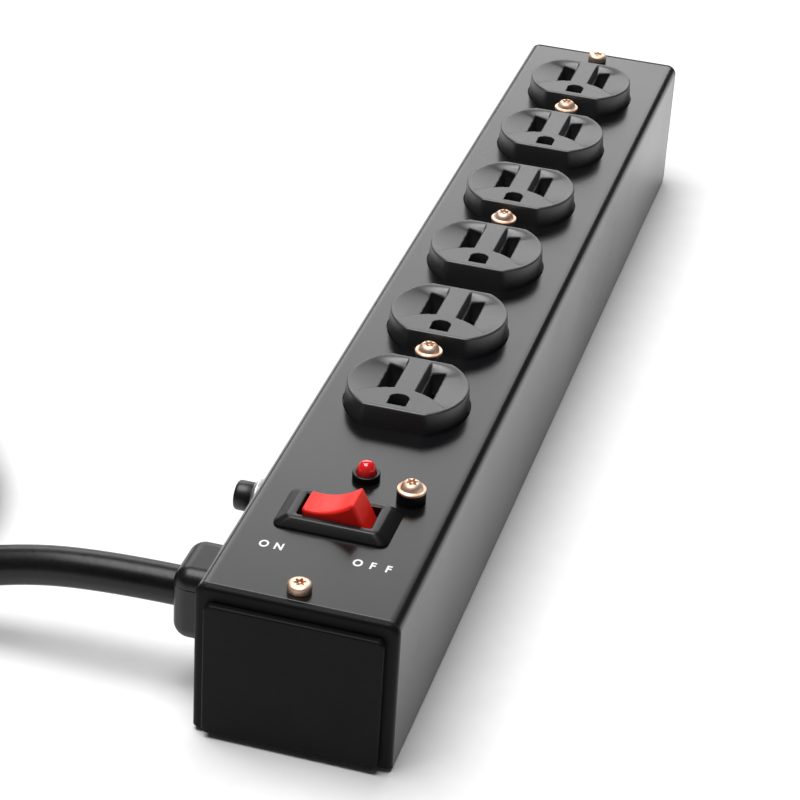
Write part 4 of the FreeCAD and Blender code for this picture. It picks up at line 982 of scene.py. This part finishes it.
def threadProfile(boreMm, crestMm, startMm, endMm, pitchMm):
    profile = [(boreMm, startMm), (crestMm - 0.45, startMm)]
    count = int((endMm - startMm - 0.5) / pitchMm)
    for index in range(count):
        low = startMm + 0.2 + index * pitchMm
        profile += [(crestMm - 0.45, low), (crestMm - 0.05, low + pitchMm * 0.35),
                    (crestMm, low + pitchMm * 0.5), (crestMm - 0.05, low + pitchMm * 0.65)]
    return profile + [(crestMm - 0.45, endMm - 0.2), (crestMm - 0.7, endMm), (boreMm, endMm), (boreMm, startMm)]


lathePiece(
    "breaker_thread", threadProfile(2.95, 5.4, -1.2, 6.2, 1.1), "breaker_nickel",
    breakerPlace, "-x", replaces=["breaker_neck"], segments=96, smoothAngle=60,
)
lathePiece(
    "breaker_ring_nut",
    [(5.4, 0.0), (6.1, 0.0), (6.4, 0.25), (6.4, 1.5), (6.15, 1.8), (5.75, 1.95), (5.75, 2.15), (6.15, 2.3),
     (6.4, 2.6), (6.4, 3.8), (6.1, 4.15), (5.5, 4.2), (5.4, 4.2), (5.4, 0.0)],
    "breaker_nickel", breakerPlace, "-x", replaces=["breaker_nut"], segments=96, smoothAngle=40,
)
lathePiece(
    "reset_button",
    [(0, -6.2), (2.9, -6.2), (2.9, 6.5), (3.9, 6.5), (4.1, 6.7), (4.1, 10.2), (4.0, 10.75), (3.7, 11.1),
     (3.1, 11.3), (1.5, 11.22), (0, 11.2)],
    "breaker_plastic", breakerPlace, "-x", body="button", replaces=["breaker_button"], smoothAngle=50,
)
print("reset button finished")


for half in ("strain_relief_upper", "strain_relief_lower"):
    softenNode(half, 0.25)
print("cord grip finished")


legend = {"capMm": 2.75, "boldMm": 0.12, "inkMm": 0.03, "yMm": -153.65, "narrow": 0.8}
legendLetters = [("O", -15.6), ("N", -11.7), ("O", 8.8), ("F", 12.65), ("F", 16.7)]


def addLegend():
    for index, (letter, x) in enumerate(legendLetters):
        text = bpy.data.curves.new(f"legend_{index}", "FONT")
        text.body = letter
        text.size = legend["capMm"] / 0.7 * mm
        text.offset = legend["boldMm"] * mm
        text.extrude = legend["inkMm"] / 2 * mm
        text.align_x = "CENTER"
        text.align_y = "CENTER"
        text.materials.append(materials["legend_ink"])
        piece = bpy.data.objects.new(f"legend_{index}", text)
        scene.collection.objects.link(piece)
        piece.location = (x * mm, legend["yMm"] * mm, topZ + legend["inkMm"] / 2 * mm)
        piece.scale = (legend["narrow"], 1, 1)
        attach(piece, root)


addLegend()
print("legend printed")


studio = {"floor": "#f8f8f8", "floorM": 6.0, "backLight": 21.5, "topLight": 46.0}


def addFloor():
    reach = studio["floorM"] / 2

    def build(shape):
        spots = [shape.verts.new((sx * reach, sy * reach, -0.0002)) for sx, sy in ((-1, -1), (1, -1), (1, 1), (-1, 1))]
        shape.faces.new(spots)

    mesh = meshFrom("studio_floor", build)
    material, tree, shader, coords = newMaterial("white seamless paper", {"Roughness": 0.9, "Specular IOR Level": 0.1})
    fibres = addNode(tree, "ShaderNodeTexNoise", {"Scale": perMetre(8), "Detail": 3.0}, {"Vector": coords})
    colourBetween(tree, shader, fibres.outputs["Fac"], "#f6f6f6", studio["floor"])
    mesh.materials.append(material)
    floor = bpy.data.objects.new("studio_floor", mesh)
    scene.collection.objects.link(floor)


def addSoftbox(name, place, target, size, power, colour="#ffffff"):
    data = bpy.data.lights.new(name, "AREA")
    data.shape = "RECTANGLE"
    data.size, data.size_y = size
    data.energy = power
    data.color = linear(colour)[:3]
    holder = bpy.data.objects.new(name, data)
    scene.collection.objects.link(holder)
    aim = Vector(target) - Vector(place)
    holder.matrix_world = Matrix.Translation(place) @ aim.to_track_quat("-Z", "Y").to_matrix().to_4x4()


addFloor()
addSoftbox("back_softbox", (-0.5, 1.85, 0.98), (0, 0.05, 0.05), (2.2, 1.15), studio["backLight"])
addSoftbox("top_softbox", (-0.35, -0.1, 1.9), (0, 0, 0), (1.4, 1.4), studio["topLight"])
world = bpy.data.worlds.new("studio")
world.use_nodes = True
world.node_tree.nodes["Background"].inputs["Color"].default_value = linear("#4a4a4c")
world.node_tree.nodes["Background"].inputs["Strength"].default_value = 1.0
scene.world = world
scene.view_settings.view_transform = "Standard"
print("studio lit")
